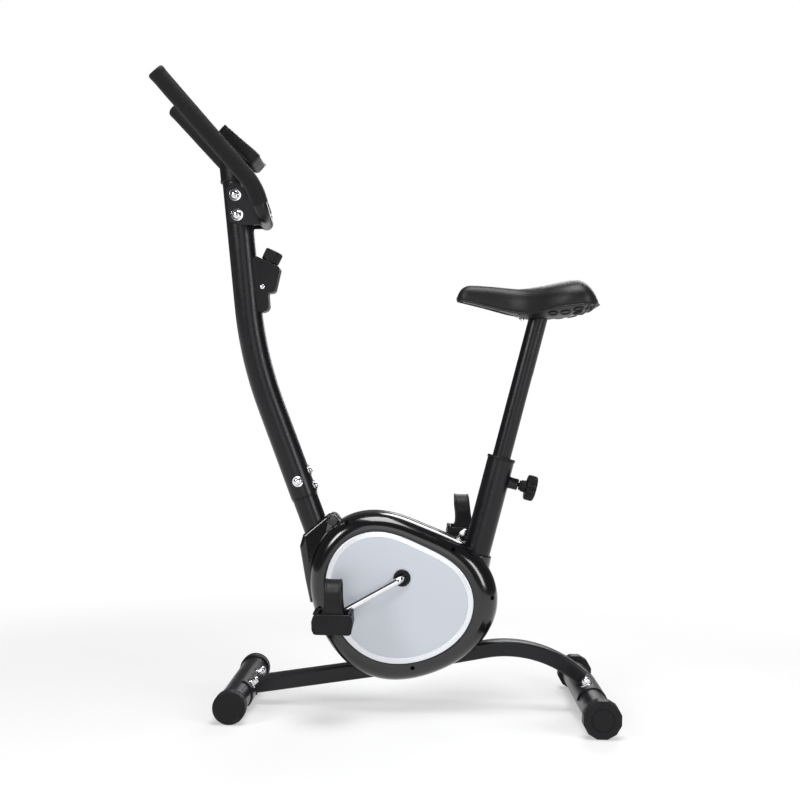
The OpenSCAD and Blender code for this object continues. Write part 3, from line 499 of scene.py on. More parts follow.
# weld beads where the beam meets the plates, and the block under its rear end
def bead(pts, r=2.0, seed=0.0):
    fr = frames(pts, V(0.3, 0.2, 1))
    return sweep(pts, lambda i, s: [(r * (1 + 0.16 * sin(s * 2.1 + seed)) * cos(TAU * k / 10), r * (1 + 0.16 * sin(s * 2.1 + seed)) * sin(TAU * k / 10)) for k in range(10)], up=V(0.3, 0.2, 1))


fz = [V(-224.6, y, 20.6 + 0.0 * y) for y in range(-19, 20, 1)]
for s in (-1, 1):
    parts.append(bead([V(-250 + 28.6 * cos(rad(a)), s * 20.2, 28.8 + 28.6 * sin(rad(a))) for a in range(-22, 44, 3)], 1.8, s))
    parts.append(bead([V(386.1 + 28.6 * cos(rad(a)), s * 18.0, 30.7 + 28.6 * sin(rad(a))) for a in range(98, 141, 3)], 1.9, s))
parts.append(bead([V(-250 + 28.6 * cos(rad(42)), y, 28.8 + 28.6 * sin(rad(42))) for y in range(-20, 21, 1)], 1.8))
dd = V(0.809, 0, -0.588)
blk_o = V(375.5, 0, 62.6) - V(3.5, 0, 3.8)
nn_ = V(0.588, 0, 0.809)
blk = [blk_o + dd * a + nn_ * b for a, b in ((-6, -8), (17, -8), (17, 8), (-6, 8))]
parts.append(prism([(p[0], p[2]) for p in blk], -17, 17, 1.6))
beam_ob = finish_mesh("base_beam_tube", *join(*parts), "frame_paint", "frame", ["base_beam"])

# ------------------------------------------------------------------ mast, neck, seat tube, stabilisers
mast_path = rounded([knee + mt * 352, knee, knee + mf * 274], [0, 730, 0], 36)
mast_ob = finish_mesh("mast_tube", *tube(mast_path, 25, 1.5, 72), "frame_paint", "frame", ["mast"])
neck_path = [knee + mf * k for k in (220, 300, 420, 560, 612)]
finish_mesh("neck_inner_tube", *join(tube(neck_path, 23.4, 2, 64), lathe(knee + mf * 274.6, mf, soft([(23.4, 0), (24.7, 0.2), (24.7, 1.6), (23.4, 2.4)], 0.4), 64)), "frame_paint", "frame", ["neck_tube"])
st = [post_0 - pt * 372, post_0 - pt * 200, post_0]
finish_mesh("seat_tube_shell", *join(tube(st, 25, 1.5, 72),
    lathe(pin_0, pn, soft([(11.6, 23.5), (11.6, 26), (10.8, 27.4), (10.8, 41), (9.6, 42), (6.4, 42), (6.4, 24)], 0.7), 48)), "frame_paint", "frame", ["seat_tube"])
finish_mesh("seat_tube_collar", *lathe(post_0, pt, soft([(17.4, -20), (25.9, -0.2), (26.2, 0.2), (26.2, 4.0), (25.2, 5.0), (18.6, 5.0), (17.4, 4.0), (17.4, -20)], 0.6)[1:-1], 72, closed=True), "black_plastic", "frame", ["seat_bushing"])

for nm, ax, half in (("front_stabiliser", front_ax, 152), ("rear_stabiliser", rear_ax, 188)):
    finish_mesh(nm + "_tube", *tube([ax + V(0, -half, 0), ax, ax + V(0, half, 0)], 25, 1.5, 72, up=V(0, 0, 1)), "frame_paint", "frame", [nm])


# ------------------------------------------------------------------ fasteners
def cross_head(r, dome, flange=0.0):
    """A domed head with a cross recess, looking along +Z from height 0."""
    prof = [(0, -0.2), (r, -0.2), (r, 0.7)] + [(r * cos(rad(a)), 0.7 + dome * sin(rad(a))) for a in (15, 30, 45, 60, 75)] + [(0, 0.7 + dome)]
    o = temp(*lathe((0, 0, 0), (0, 0, 1), prof, 40))
    w, l, dep = r * 0.17, r * 0.62, dome * 0.95
    for a in (0.3, 0.3 + math.pi / 2):
        c, s = cos(a), sin(a)
        def q(x, y, z):
            return V(x * c - y * s, x * s + y * c, z)
        top, bot = 0.7 + dome + 1, 0.7 + dome - dep
        vs = [q(-l, -w, top), q(l, -w, top), q(l, w, top), q(-l, w, top), q(-l * 0.45, -w * 0.7, bot), q(l * 0.45, -w * 0.7, bot), q(l * 0.45, w * 0.7, bot), q(-l * 0.45, w * 0.7, bot)]
        fs = [(0, 1, 2, 3), (4, 7, 6, 5), (0, 4, 5, 1), (1, 5, 6, 2), (2, 6, 7, 3), (3, 7, 4, 0)]
        k = temp(vs, fs)
        boolean(o, k)
        drop(k)
    off = P((0, 0, 0))
    verts = [Vector((v.co - off) * 1000) for v in o.data.vertices]
    faces = [tuple(p.vertices) for p in o.data.polygons]
    drop(o)
    return verts, faces


def put(part, origin, d):
    x, y, z = basis(d)
    o = Vector(origin)
    return ([o + x * v[0] + y * v[1] + z * v[2] for v in part[0]], part[1])


HEAD = cross_head(7.4, 3.4)


def washer(origin, d, r, h0, h1, bore=4.2):
    return lathe(origin, d, soft([(bore, h0), (r, h0), (r, h1), (bore, h1), (bore, h0)], 0.35, 3)[1:-1], 48, closed=True)


def saddle_washer(origin, d, r=9.8, tube_r=25.1, t=1.6, axis=None):
    """A washer bent round the tube."""
    x, y, z = basis(d)
    ax = Vector(axis).normalized()
    o = Vector(origin)
    verts, faces = [], []
    n, m = 40, 5
    lv = [(4.2, 0), (r, 0), (r + 0.2, 0.5), (r, 1), (4.2, 1)]
    for rr, f in lv:
        for k in range(n):
            a = TAU * k / n
            off = x * (rr * cos(a)) + y * (rr * sin(a))
            side = off - ax * off.dot(ax)
            h = math.sqrt(max(1, tube_r ** 2 - side.length ** 2)) + f * t
            verts.append(o + off + z * h)
    for i in range(m):
        for k in range(n):
            faces.append((i * n + k, i * n + (k + 1) % n, ((i + 1) % m) * n + (k + 1) % n, ((i + 1) % m) * n + k))
    return verts, faces


fnr = V(cos(rad(21.8)), 0, sin(rad(21.8)))
foot_bolts = [(knee + mf * 231.5, fnr), (knee + mf * 261.5, fnr), (knee + mf * 244, V(0, 1, 0)), (knee + mf * 244, V(0, -1, 0))]
ws, hs = [], []
for o, d in foot_bolts:
    ws.append(saddle_washer(o, d, axis=mf))
    hs.append(put(HEAD, o + d * 26.9, d))
    hs.append(lathe(o, d, [(0, 19), (4, 19), (4, 27), (0, 27)], 24))
finish_mesh("mast_bolt_heads", *join(*hs), "chrome", "frame", ["mast_bolts"])
finish_mesh("mast_saddle_washers", *join(*ws), "chrome", "frame", ["mast_washers"])

bolt_a, bolt_b = knee + mt * 297.5, knee + mt * 260.8
hb = []
HEX = round_outline([(7.6 * cos(rad(60 * k)), 7.6 * sin(rad(60 * k))) for k in range(6)], 0.9, 3)


def hexnut(origin, d, r=7.5, h=6.4, z0=0.0, phase=0.0):
    x, y, z = basis(d)
    o = Vector(origin)
    k = r / 7.6
    c, s = cos(phase), sin(phase)
    def pl(a, b, hh):
        return o + x * ((a * c - b * s)) + y * ((a * s + b * c)) + z * hh
    def ol(e):
        return [(a * k * (1 - e / 7.6), b * k * (1 - e / 7.6)) for a, b in HEX]
    return stack(ol, [(0.9, z0), (0, z0 + 0.7), (0, z0 + h - 0.9), (1.1, z0 + h)], pl)


for p in (bolt_a, bolt_b):
    for s in (-1, 1):
        d = V(0, s, 0)
        hb.append(washer(p, d, 11, 28.3, 29.8))
        hb.append(put(HEAD, p + d * 29.9, d) if s < 0 else hexnut(p, d, 7.5, 6.3, 29.9, 0.4))
    hb.append(lathe(p, (0, 1, 0), [(0, -29.5), (4, -29.5), (4, 30), (4, 38.4), (3, 39.2), (0, 39.2)], 24))
finish_mesh("handlebar_bolt_heads", *join(*hb), "chrome", "frame", ["handlebar_bolts"])

sn = []
for ax, ang in ((front_ax, 38), (rear_ax, 104)):
    d = V(cos(rad(ang)), 0, sin(rad(ang)))
    for y in (-47, 47):
        o = ax + V(0, y, 0)
        sn.append(saddle_washer(o, d, 10.5, 28.2, 1.7, axis=(0, 1, 0)))
        # split spring washer
        sn.append(washer(o, d, 7.2, 29.4, 31.2))
        sn.append(hexnut(o, d, 7.6, 6.0, 31.3, 0.2 + 0.3 * (y > 0)))
        sn.append(lathe(o, d, [(6.6, 36.9)] + [(6.4 * cos(rad(a)), 37.3 + 4.6 * sin(rad(a))) for a in (0, 15, 30, 45, 60, 75)] + [(0, 41.9)], 40))
finish_mesh("stabiliser_dome_nuts", *join(*sn), "chrome", "frame", ["stabiliser_nuts"])

# ------------------------------------------------------------------ rollers and levelling caps
for s, side in ((-1, "left"), (1, "right")):
    o = front_ax + V(0, s * 154, 0)
    d = V(0, s, 0)
    def rib(i, a, r, h):
        return -0.55 * (0.5 + 0.5 * math.copysign(min(1, abs(3 * cos(48 * a))), cos(48 * a))) if 3.2 < h < 19.2 and r > 28 else 0
    prof = soft([(5.2, 0.2), (26.6, 0.2), (27.6, 1.4)], 0.6) + [(28.4, 2.2), (28.75, 3.0), (28.75, 3.4), (28.75, 18.9), (28.75, 19.3)] + soft([(28.0, 20.0), (28.6, 20.6), (28.6, 24.4), (26.6, 25.8), (24.5, 26), (23.4, 25.3), (0.0, 25.3)], 0.8)
    finish_mesh("transport_roller_" + side, *lathe(o, d, prof, 384, rib), "black_plastic", "roller_l" if s < 0 else "roller_r", ["front_roller_" + side])

for s, side in ((-1, "left"), (1, "right")):
    cz = rear_ax + V(0, 0, 2)
    AP = 32.7
    gon = [(AP / cos(rad(15)) * cos(rad(15 + 30 * k)), AP / cos(rad(15)) * sin(rad(15 + 30 * k))) for k in range(12)]
    g2 = round_outline(gon, 4.5, 5)
    def ol(e, g2=g2):
        return [(a * (1 - e / AP), b * (1 - e / AP)) for a, b in g2]
    def pl(a, b, h, s=s, cz=cz):
        return V(cz[0] + a, s * h, cz[2] + b)
    lv = [(1.4, 187.0), (0.4, 187.3), (0, 188.2), (0, 211.6), (0.5, 213.2), (1.6, 214.3), (3.2, 214.9), (12.4, 215), (13.0, 214.2), (14.6, 214.2), (15.2, 215.0), (26, 215.0)]
    finish_mesh("levelling_cap_" + side, *stack(ol, lv, pl), "black_plastic", "cap_l" if s < 0 else "cap_r", ["rear_cap_" + side], angle=26)

# ------------------------------------------------------------------ handlebar, grips and bracket
YAW = rad(4)
PX = -231.3


def yaw(p):
    x, y = p[0] - PX, p[1]
    return V(PX + x * cos(YAW) - y * sin(YAW), x * sin(YAW) + y * cos(YAW), p[2])


tip = lambda s: V(-417.2, s * 140, 1120.5)
hk = lambda s: V(-249, s * 78, 942.7)
low = lambda s: V(PX, s * 61, 892)
bar = rounded([yaw(p) for p in (tip(-1), hk(-1), low(-1), low(1), hk(1), tip(1))], [0, 110, 28, 28, 110, 0], 22)
finish_mesh("handlebar_tube", *tube(bar, 12.5, 1.5, 48, up=V(1, 0, 0.2)), "frame_paint", "frame", ["handlebar"])
for s, side in ((-1, "left"), (1, "right")):
    t, k, e = yaw(tip(s)), yaw(hk(s)), yaw(low(s))
    g = e + (k - e).normalized() * 22
    d = (t - k).normalized()
    path = rounded([g, k, t - d * 0.5], [0, 110, 0], 26)
    # a long straight needs rings of its own so that the foam can wander a little
    dense = []
    for a, b in zip(path, path[1:]):
        m = max(1, int((b - a).length / 6))
        dense += [a + (b - a) * (i / m) for i in range(m)]
    dense.append(path[-1])
    L = sum((b - a).length for a, b in zip(dense, dense[1:]))
    def prof(i, s_, L=L):
        r = 15.25 + 0.10 * sin(s_ * 0.045) + 0.06 * sin(s_ * 0.13 + 1)
        if s_ < 1.2:
            r -= 0.9 * (1 - s_ / 1.2)
        if L - 9.5 < s_ < L - 7.6:
            r -= 0.9
        return circle(r, 56)
    g1 = sweep([dense[0], dense[0] + (dense[1] - dense[0]).normalized() * 1.2] + dense[1:], prof, up=V(1, 0, 0.2))
    cap = lathe(t, d, [(0, -6), (15.2, -6)] + [(15.55, -5.2), (15.6, 0.6)] + [(10.6 + 5 * cos(rad(a)), 0.8 + 4.9 * sin(rad(a))) for a in (12, 25, 40, 55, 70, 82, 90)] + [(4.0, 5.7), (2.6, 5.3), (0, 5.2)], 56)
    finish_mesh("foam_grip_" + side, *join(g1, cap), "foam", "frame", ["grip_" + side])

# ------------------------------------------------------------------ mast cap and tension control
ca_ = knee + mt * 325
finish_mesh("mast_top_sleeve", *lathe(ca_, mt, soft([(25.1, 0), (28.2, 0), (28.5, 1.4), (28.5, 4.4), (27.6, 5.2), (27.6, 36), (27.2, 47), (24, 50), (0, 50)], 0.8), 72), "black_plastic", "frame", ["mast_cap"])
hous = round_outline([(-252, 822), (-243, 823.5), (-203.5, 806.2), (-200.5, 801), (-208.5, 761), (-213, 757.5), (-221.5, 757), (-219, 731), (-222.5, 724.5), (-229, 721.5), (-246, 721.5)], 2.4, 4)
tparts = [prism(hous, -17, 17, 2.2, 4)]
ten_c, ten_d = V(-221.4, 0, 814.8), V(sin(rad(24)), 0, cos(rad(24)))
# raised pad under the knob
tparts.append(lathe(ten_c, ten_d, soft([(0, -7), (16.4, -7), (16.4, -0.4), (14.8, 0.2), (0, 0.2)], 0.8), 64))
finish_mesh("tension_case", *join(*tparts), "black_plastic", "frame", ["tension_housing"])


def flute(n, depth, lo, hi, sharp=1.0):
    def f(i, a, r, h):
        if not lo < h < hi:
            return 0
        c = 0.5 + 0.5 * cos(n * a)
        return -depth * c ** sharp
    return f


prof = [(4.9, -9), (4.9, 0.5)] + soft([(14.6, 0.6), (16.2, 0.9), (16.6, 2.0), (16.6, 4.0)], 0.5) + [(16.6, 4.6), (16.7, 6.0), (16.8, 12), (16.7, 18.6)] + soft([(16.6, 20.4), (15.4, 22.0), (12.4, 22.3), (11.6, 21.6), (0, 21.6)], 0.6)
finish_mesh("tension_dial", *lathe(ten_c, ten_d, prof, 240, flute(18, 1.5, 4.3, 19.5, 2.2)), "black_plastic", "tension", ["tension_knob"])
small = cross_head(4.6, 2.1)
finish_mesh("tension_case_screw", *put(small, V(-231.9, -17.0, 767.4), V(0, -1, 0)), "chrome", "frame", ["tension_screw"])

# ------------------------------------------------------------------ console
CA = rad(39.8)
cu, cn, cc = V(cos(CA), 0, -sin(CA)), V(sin(CA), 0, cos(CA)), V(-270.5, 0, 1028.8)


def cpl(a, b, h):
    return cc + cu * (a - 2) + V(0, b, 0) + cn * h


def rr(w, h, r):
    return lambda e: rrect(w - 2 * e, h - 2 * e, max(1.0, r - e), 8)


body = stack(rr(88, 110, 17), [(11, -24.6), (7.5, -24.5), (4.2, -23.4), (1.8, -21.4), (0.5, -18.6), (0, -15.5), (0, -3.6), (0.3, -3.2), (1.2, -3.2), (1.2, -2.2)], cpl)
foot = lathe(cc - cu * 10 - cn * 24, -cn, [(0, -3), (22, -3), (22, 0)], 48)
finish_mesh("console_case", *body, "black_plastic", "frame", ["console_housing", "battery_cover"])
bez = stack(rr(88, 110, 17), [(1.3, -2.6), (0.2, -2.2), (0, -1.6), (0, -0.4), (0.6, 0.5), (1.8, 1.0), (6.0, 1.0), (7.4, 0.1), (8.4, -0.3)], cpl)
finish_mesh("console_face", *bez, "gloss_black", "frame", ["console_bezel"])
# bright ring round the console face: a painted reflection for the bezel's highlight line
line = stack(rr(88, 110, 17), [(5.4, 0.2), (5.0, 1.02), (5.3, 1.32), (6.2, 1.32), (6.5, 1.02), (6.8, 0.2)], cpl)
finish_mesh("console_painted_reflection_ring", *line, "frame_paint", "frame", mat=MAT["painted_reflection_trim"])


def win(a, b, w, h, r, levels):
    def pl(x, y, z):
        return cc + cu * (a + x) + V(0, b + y, 0) + cn * z
    return stack(lambda e: rrect(w - 2 * e, h - 2 * e, max(0.4, r - e), 5), levels, pl)


finish_mesh("console_display", *win(-14, 0, 44, 78, 5, [(0, -0.8), (0, 0.0), (0.5, 0.35), (1.5, 0.5), (4, 0.5)]), "display_glass", "frame", ["console_screen"])
# seven-segment style figures made of small bars: only digits of a reading, no words
seg = []


def bar_seg(a, b, w, h):
    seg.append(win(a, b, w, h, 0.5, [(0, 0.45), (0, 0.62), (0.2, 0.68)]))


SEGS = {"0": "abcdef", "2": "abged", "8": "abcdefg", "5": "afgcd", "1": "bc"}
def digit(ch, a, b, sc=1.0):
    w, h, t = 7 * sc, 12 * sc, 1.3 * sc
    # a runs along u (down the face), b along Y
    m = {"a": (-h / 2, 0, t, w), "g": (0, 0, t, w), "d": (h / 2, 0, t, w), "f": (-h / 4, -w / 2, h / 2 - t, t), "b": (-h / 4, w / 2, h / 2 - t, t), "e": (h / 4, -w / 2, h / 2 - t, t), "c": (h / 4, w / 2, h / 2 - t, t)}
    for k in SEGS[ch]:
        q = m[k]
        bar_seg(a + q[0], b + q[1], q[2], q[3])


for i, ch in enumerate("00"):
    digit(ch, -18, -22 + i * 11)
for i, ch in enumerate("00"):
    digit(ch, -18, 8 + i * 11)
bar_seg(-20, -5.5 + 0.5, 1.4, 1.4)
bar_seg(-15, -5.5 + 0.5, 1.4, 1.4)
for i in range(12):
    bar_seg(0.5, -30 + i * 5.4, 2.6, 3.6)
finish_mesh("console_display_figures", *join(*seg), "display_glass", "frame", mat=MAT["lcd_ink"])
for y, nm in ((-28, "mode"), (0, "set"), (28, "reset")):
    o = cc + cu * 27 + V(0, y, 0)
    finish_mesh(nm + "_key", *lathe(o, cn, soft([(7.6, -5.4), (7.9, -5), (7.9, 1.4), (7.0, 2.4), (4.5, 2.5), (0, 2.1)], 0.7), 48), "black_plastic", nm, [nm + "_button"])
    finish_mesh(nm + "_key_ring", *lathe(o, cn, soft([(8.5, -0.5), (10.2, -0.5), (10.2, 1.2), (9.4, 1.6), (8.6, 1.3), (8.5, -0.5)], 0.3)[1:-1], 48, closed=True), "black_plastic", "frame")

# ------------------------------------------------------------------ shroud
EN = 160


def egg(c, R, a2, b2, a3, b3, off, n=EN):
    out = []
    for k in range(n):
        t = TAU * k / n
        r = R + a2 * cos(2 * t) + b2 * sin(2 * t) + a3 * cos(3 * t) + b3 * sin(3 * t) - off
        out.append((c[0] + r * cos(t), c[1] + r * sin(t)))
    return out


shell = lambda e: egg((35.5, 207), 160, 11, -9, 8.5, 4, e)
face = lambda e: egg((31, 207), 124, 8.5, -9, 5.5, 2, e)


def mix(A, B, f):
    return [(a[0] * (1 - f) + b[0] * f, a[1] * (1 - f) + b[1] * f) for a, b in zip(A, B)]


def shroud(s):
    rows = []
    rows.append((shell(0.9), 0.3))
    rows.append((shell(0.25), 0.6))
    rows.append((shell(0), 1.3))
    rows.append((shell(0), 12))
    K = 18
    for k in range(K + 1):
        t = math.pi / 2 * k / K
        rows.append((mix(shell(0), face(0), 0.84 * (1 - cos(t))), 24 + 36 * sin(t)))
    rows.append((mix(shell(0), face(0), 0.92), 60.0))
    rows.append((face(-1.8), 59.8))
    rows.append((face(-1.1), 59.2))
    rows.append((face(-1.0), 57.6))
    rows.append((face(2.5), 57.4))
    # back along the inside
    rows.append((face(5), 55.4))
    for k in range(K, -1, -3):
        t = math.pi / 2 * k / K
        rows.append((mix(shell(2.6), face(2.6), 0.84 * (1 - cos(t))), 24 + 33.4 * sin(t)))
    rows.append((shell(2.6), 0.3))
    verts, faces = [], []
    for ring, y in rows:
        verts += [V(a, y, b) for a, b in ring]
    m = len(rows)
    for i in range(m):
        j = (i + 1) % m
        for k in range(EN):
            faces.append((i * EN + k, i * EN + (k + 1) % EN, j * EN + (k + 1) % EN, j * EN + k))
    return mirror_y((verts, faces), s)


COVER = {}
for s, side in ((-1, "left"), (1, "right")):
    v, f = shroud(s)
    ob = finish_mesh("drive_cover_" + side, v, f, "gloss_black", "frame", ["shroud_" + side])
    COVER[s] = ob
    cut = [tube([knee + mf * 200, knee + mf * 350, knee + mf * 520], 24.0, None, 48), tube([post_0 - pt * 300, post_0 - pt * 200, post_0 + pt * 20], 25.6, None, 48)]
    cut.append(sweep([beam[0]] + beam[1:-1], lambda i, q: rrect(41.4, 29.4, 4, 3)))
    for part in cut:
        c = temp(*part)
        boolean(ob, c)
        drop(c)
    ob.data.shade_smooth()
    ob.data.set_sharp_from_angle(angle=rad(32))

# raised rim round the seat tube, where the two halves meet it
ring_o = post_0 - pt * 188
finish_mesh("seat_tube_rim", *lathe(ring_o, pt, soft([(25.5, -16), (30.5, -16), (29.0, 8), (27.2, 10), (25.5, 10), (25.5, -16)], 1.0)[1:-1], 72, closed=True), "gloss_black", "frame")

# collar round the neck tube: a chamfered sleeve moulded on the cover, from a lug on top down to its front corner
col = round_outline([(-150.0, 293.0), (-144.5, 314.5), (-110.5, 344.0), (-101.5, 351.5), (-88.5, 351.5), (-77.0, 342.5), (-80, 300), (-96, 236), (-104, 196), (-128, 190), (-138, 232)], [5, 4, 5, 4, 4, 4, 3, 3, 3, 3, 20], 4)
lug = round_outline([(-104.0, 339.0), (-100.0, 350.0), (-94.5, 354.0), (-87.5, 353.0), (-79.0, 344.0), (-84.0, 330.0)], 3.5, 4)
finish_mesh("neck_collar", *join(prism(col, -29.5, 29.5, 6.5, 5), prism(lug, -33.0, -12.0, 3.0, 4), prism(lug, 12.0, 33.0, 3.0, 4)), "gloss_black", "frame", ["shroud_collar"], angle=40)

# screws sunk into the cover
scr = []
for s in (-1, 1):
    ob = COVER[s]
    me_ = ob.data
    from mathutils.bvhtree import BVHTree
    bv = BVHTree.FromObject(ob, bpy.context.evaluated_depsgraph_get())
    for x, z in ((-63.4, 341.0), (130.4, 298.2), (204.0, 210.9), (62.4, 82.3), (-107.8, 185.6)):
        hit = bv.ray_cast(P((x, s * 90, z)), Vector((0, -s, 0)))[0]
        y = abs(hit.y) * 1000 if hit else 40
        c = temp(*lathe((x, s * (y - 7), z), (0, s, 0), [(0, 0), (3.9, 0), (3.9, 14), (0, 14)], 32))
        boolean(ob, c)
        drop(c)
        scr.append(lathe((x, s * (y - 10), z), (0, s, 0), soft([(0, 0), (3.8, 0), (3.8, 3.2), (3.2, 3.8), (1.4, 3.8), (1.0, 2.4), (0, 2.4)], 0.4), 32))
    ob.data.shade_smooth()
    ob.data.set_sharp_from_angle(angle=rad(32))
finish_mesh("cover_screws", *join(*scr), "black_plastic", "frame", ["shroud_screws"], mat=MAT["recess"])


# ------------------------------------------------------------------ silver side panels
def panel_rim(s):
    lv = [(2.0, 58.2), (0.2, 58.6), (0, 59.6), (0, 61.2), (0.35, 61.9), (1.1, 62.3), (2.2, 62.5), (8.4, 63.5), (9.0, 63.6), (9.6, 63.4), (10.2, 62.6), (10.2, 58.2)]
    verts, faces = [], []
    for e, y in lv:
        verts += [V(a, y, b) for a, b in face(e)]
    m = len(lv)
    for i in range(m):
        j = (i + 1) % m
        for k in range(EN):
            faces.append((i * EN + k, i * EN + (k + 1) % EN, j * EN + (k + 1) % EN, j * EN + k))
    return mirror_y((verts, faces), s)


def panel(s):
    lv = [(10.0, 58.2), (10.0, 62.4), (10.3, 62.75), (11.2, 62.85)]
    verts, faces = [], []
    rows = [(face(e), y) for e, y in lv]
    circ = [(crank_ax[0] + 15.4 * cos(TAU * k / EN), crank_ax[2] + 15.4 * sin(TAU * k / EN)) for k in range(EN)]
    last = rows[-1][0]
    for f in (0.15, 0.3, 0.45, 0.6, 0.75, 0.88, 0.97, 1.0):
        rows.append((mix(last, circ, f), 62.85 + (0.25 * f if f < 0.95 else (0.5 if f < 1 else -0.1))))
    rows.append((circ, 60.0))
    for ring, y in rows:
        verts += [V(a, y, b) for a, b in ring]
    m = len(rows)
    for i in range(m - 1):
        for k in range(EN):
            faces.append((i * EN + k, i * EN + (k + 1) % EN, (i + 1) * EN + (k + 1) % EN, (i + 1) * EN + k))
    # close the back
    for k in range(EN):
        faces.append(((m - 1) * EN + k, (m - 1) * EN + (k + 1) % EN, (k + 1) % EN, k))
    return mirror_y((verts, faces), s)


for s, side in ((-1, "left"), (1, "right")):
    finish_mesh("side_panel_" + side, *panel(s), "panel_silver", "frame", ["panel_" + side], angle=40)
    # the border gets the lighter copy of the panel paint, a painted highlight
    finish_mesh("side_panel_border_painted_highlight_" + side, *panel_rim(s), "panel_silver", "frame", angle=50, mat=MAT["panel_rim"])

dr = []
for s in (-1, 1):
    dr.append(lathe((39.3, 0, 244.5), (0, s, 0), soft([(7.5, 57), (11.7, 57), (11.7, 60.4), (14.9, 60.6), (14.9, 64.6), (14.0, 65.4), (11.0, 65.6), (9.4, 64.2), (7.5, 63.6), (7.5, 57)], 0.5)[1:-1], 72, closed=True))
finish_mesh("axle_dust_rings", *join(*dr), "black_plastic", "frame", ["dust_rings"])

# ------------------------------------------------------------------ crank
ck = rad(29.6)
cdir = V(-cos(ck), 0, -sin(ck))
eL, eR = crank_ax + cdir * 134.5, crank_ax - cdir * 134.5
path = rounded([eL + V(0, -89, 0) - cdir * 9, crank_ax + V(0, -74, 0), crank_ax + V(0, 74, 0), eR + V(0, 89, 0) + cdir * 9], [0, 13, 13, 0], 18)
cp = [tube(path, 6.25, None, 40, up=V(0.1, 0.2, 1))]
cp.append(lathe(crank_ax, (0, 1, 0), soft([(0, -41), (7, -41), (7, 41), (0, 41)], 0.4), 40))
for e, s in ((eL, -1), (eR, 1)):
    cp.append(lathe(e, (0, s, 0), soft([(0, 82.5), (11.4, 82.5), (12, 83.3), (12, 94.7), (11.4, 95.5), (0, 95.5)], 0.7), 56))
finish_mesh("crank_rod", *join(*cp), "chrome", "crankset", ["crank"])


# ------------------------------------------------------------------ pedals and straps
def pedal(c, s):
    """Moulded tray: bevelled end plates, two tread rails, a barrel round the spindle and cross ribs."""
    def sh(pts, dx=0, dz=0):
        return [(c[0] + a + dx, c[2] + b + dz) for a, b in pts]
    outer = round_outline([(-34.5, -13), (-31, -19.5), (-27, -20.5), (30, -20.5), (34, -17), (35.5, 4), (33.5, 12), (29, 14.6), (-29, 14.6), (-33, 11), (-35.5, 2)], 1.8, 3)
    P_ = []
    P_.append(prism(sh(outer), 170.5, 176, 1.5))
    P_.append(prism(sh([(a * 0.94, b * 0.94) for a, b in outer]), 98, 103, 1.4))
    inset = round_outline([(-24, -12), (24, -12), (26, -2), (22, 7), (-22, 7), (-26, -2)], 2.0, 3)
    rim_ = round_outline([(-26, -14), (26, -14), (28.5, -2), (24, 9), (-24, 9), (-28.5, -2)], 2.0, 3)
    P_.append(prism(sh(rim_), 175.6, 176.5, 0.4, 2))
    for a in (-1, 1):
        wall = round_outline([(a * 35.2, -3), (a * 33.6, -13), (a * 28.5, -19.6), (a * 24.0, -19.6), (a * 28.6, -10), (a * 29.4, 2), (a * 27.6, 9.5), (a * 25.6, 14.2), (a * 29.0, 14.4), (a * 33.0, 10.6)], 1.2, 2)
        P_.append(prism(sh(wall), 100, 173, 1.0, 2))
        for y in range(105, 168, 7):
            P_.append(prism(sh([(a * 31.4 - 3.0, 12.4), (a * 31.4 + 2.6, 12.4), (a * 31.4 + 1.6, 16.2), (a * 31.4 - 2.0, 16.2)]), y, y + 3.6, 0.6, 2))
            P_.append(prism(sh([(a * 30.2 - 2.6, -17.0), (a * 30.2 + 2.4, -17.0), (a * 30.2 + 1.4, -21.4), (a * 30.2 - 1.6, -21.4)]), y, y + 3.6, 0.6, 2))
    for x in (-14, 14):
        P_.append(prism(sh([(x - 2.0, -18.0), (x + 2.0, -18.0), (x + 1.8, 8.6), (x - 1.8, 8.6)]), 102, 172, 0.7, 2))
    for y in (112, 128, 144, 159):
        P_.append(prism(sh([(-30, -15), (30, -15), (30, 5.5), (-30, 5.5)]), y, y + 2.6, 0.6, 2))
    P_.append(prism(sh([(-30, -16.5), (30, -16.5), (30, -12), (-30, -12)]), 101, 172, 0.8, 2))
    P_.append(lathe((c[0], 0, c[2]), (0, 1, 0), soft([(0, 97.2), (9.0, 97.2), (9.6, 98.2), (9.6, 173), (9.0, 175.8), (6, 177.0), (0, 177.0)], 0.8), 40))
    return mirror_y(join(*P_), s)


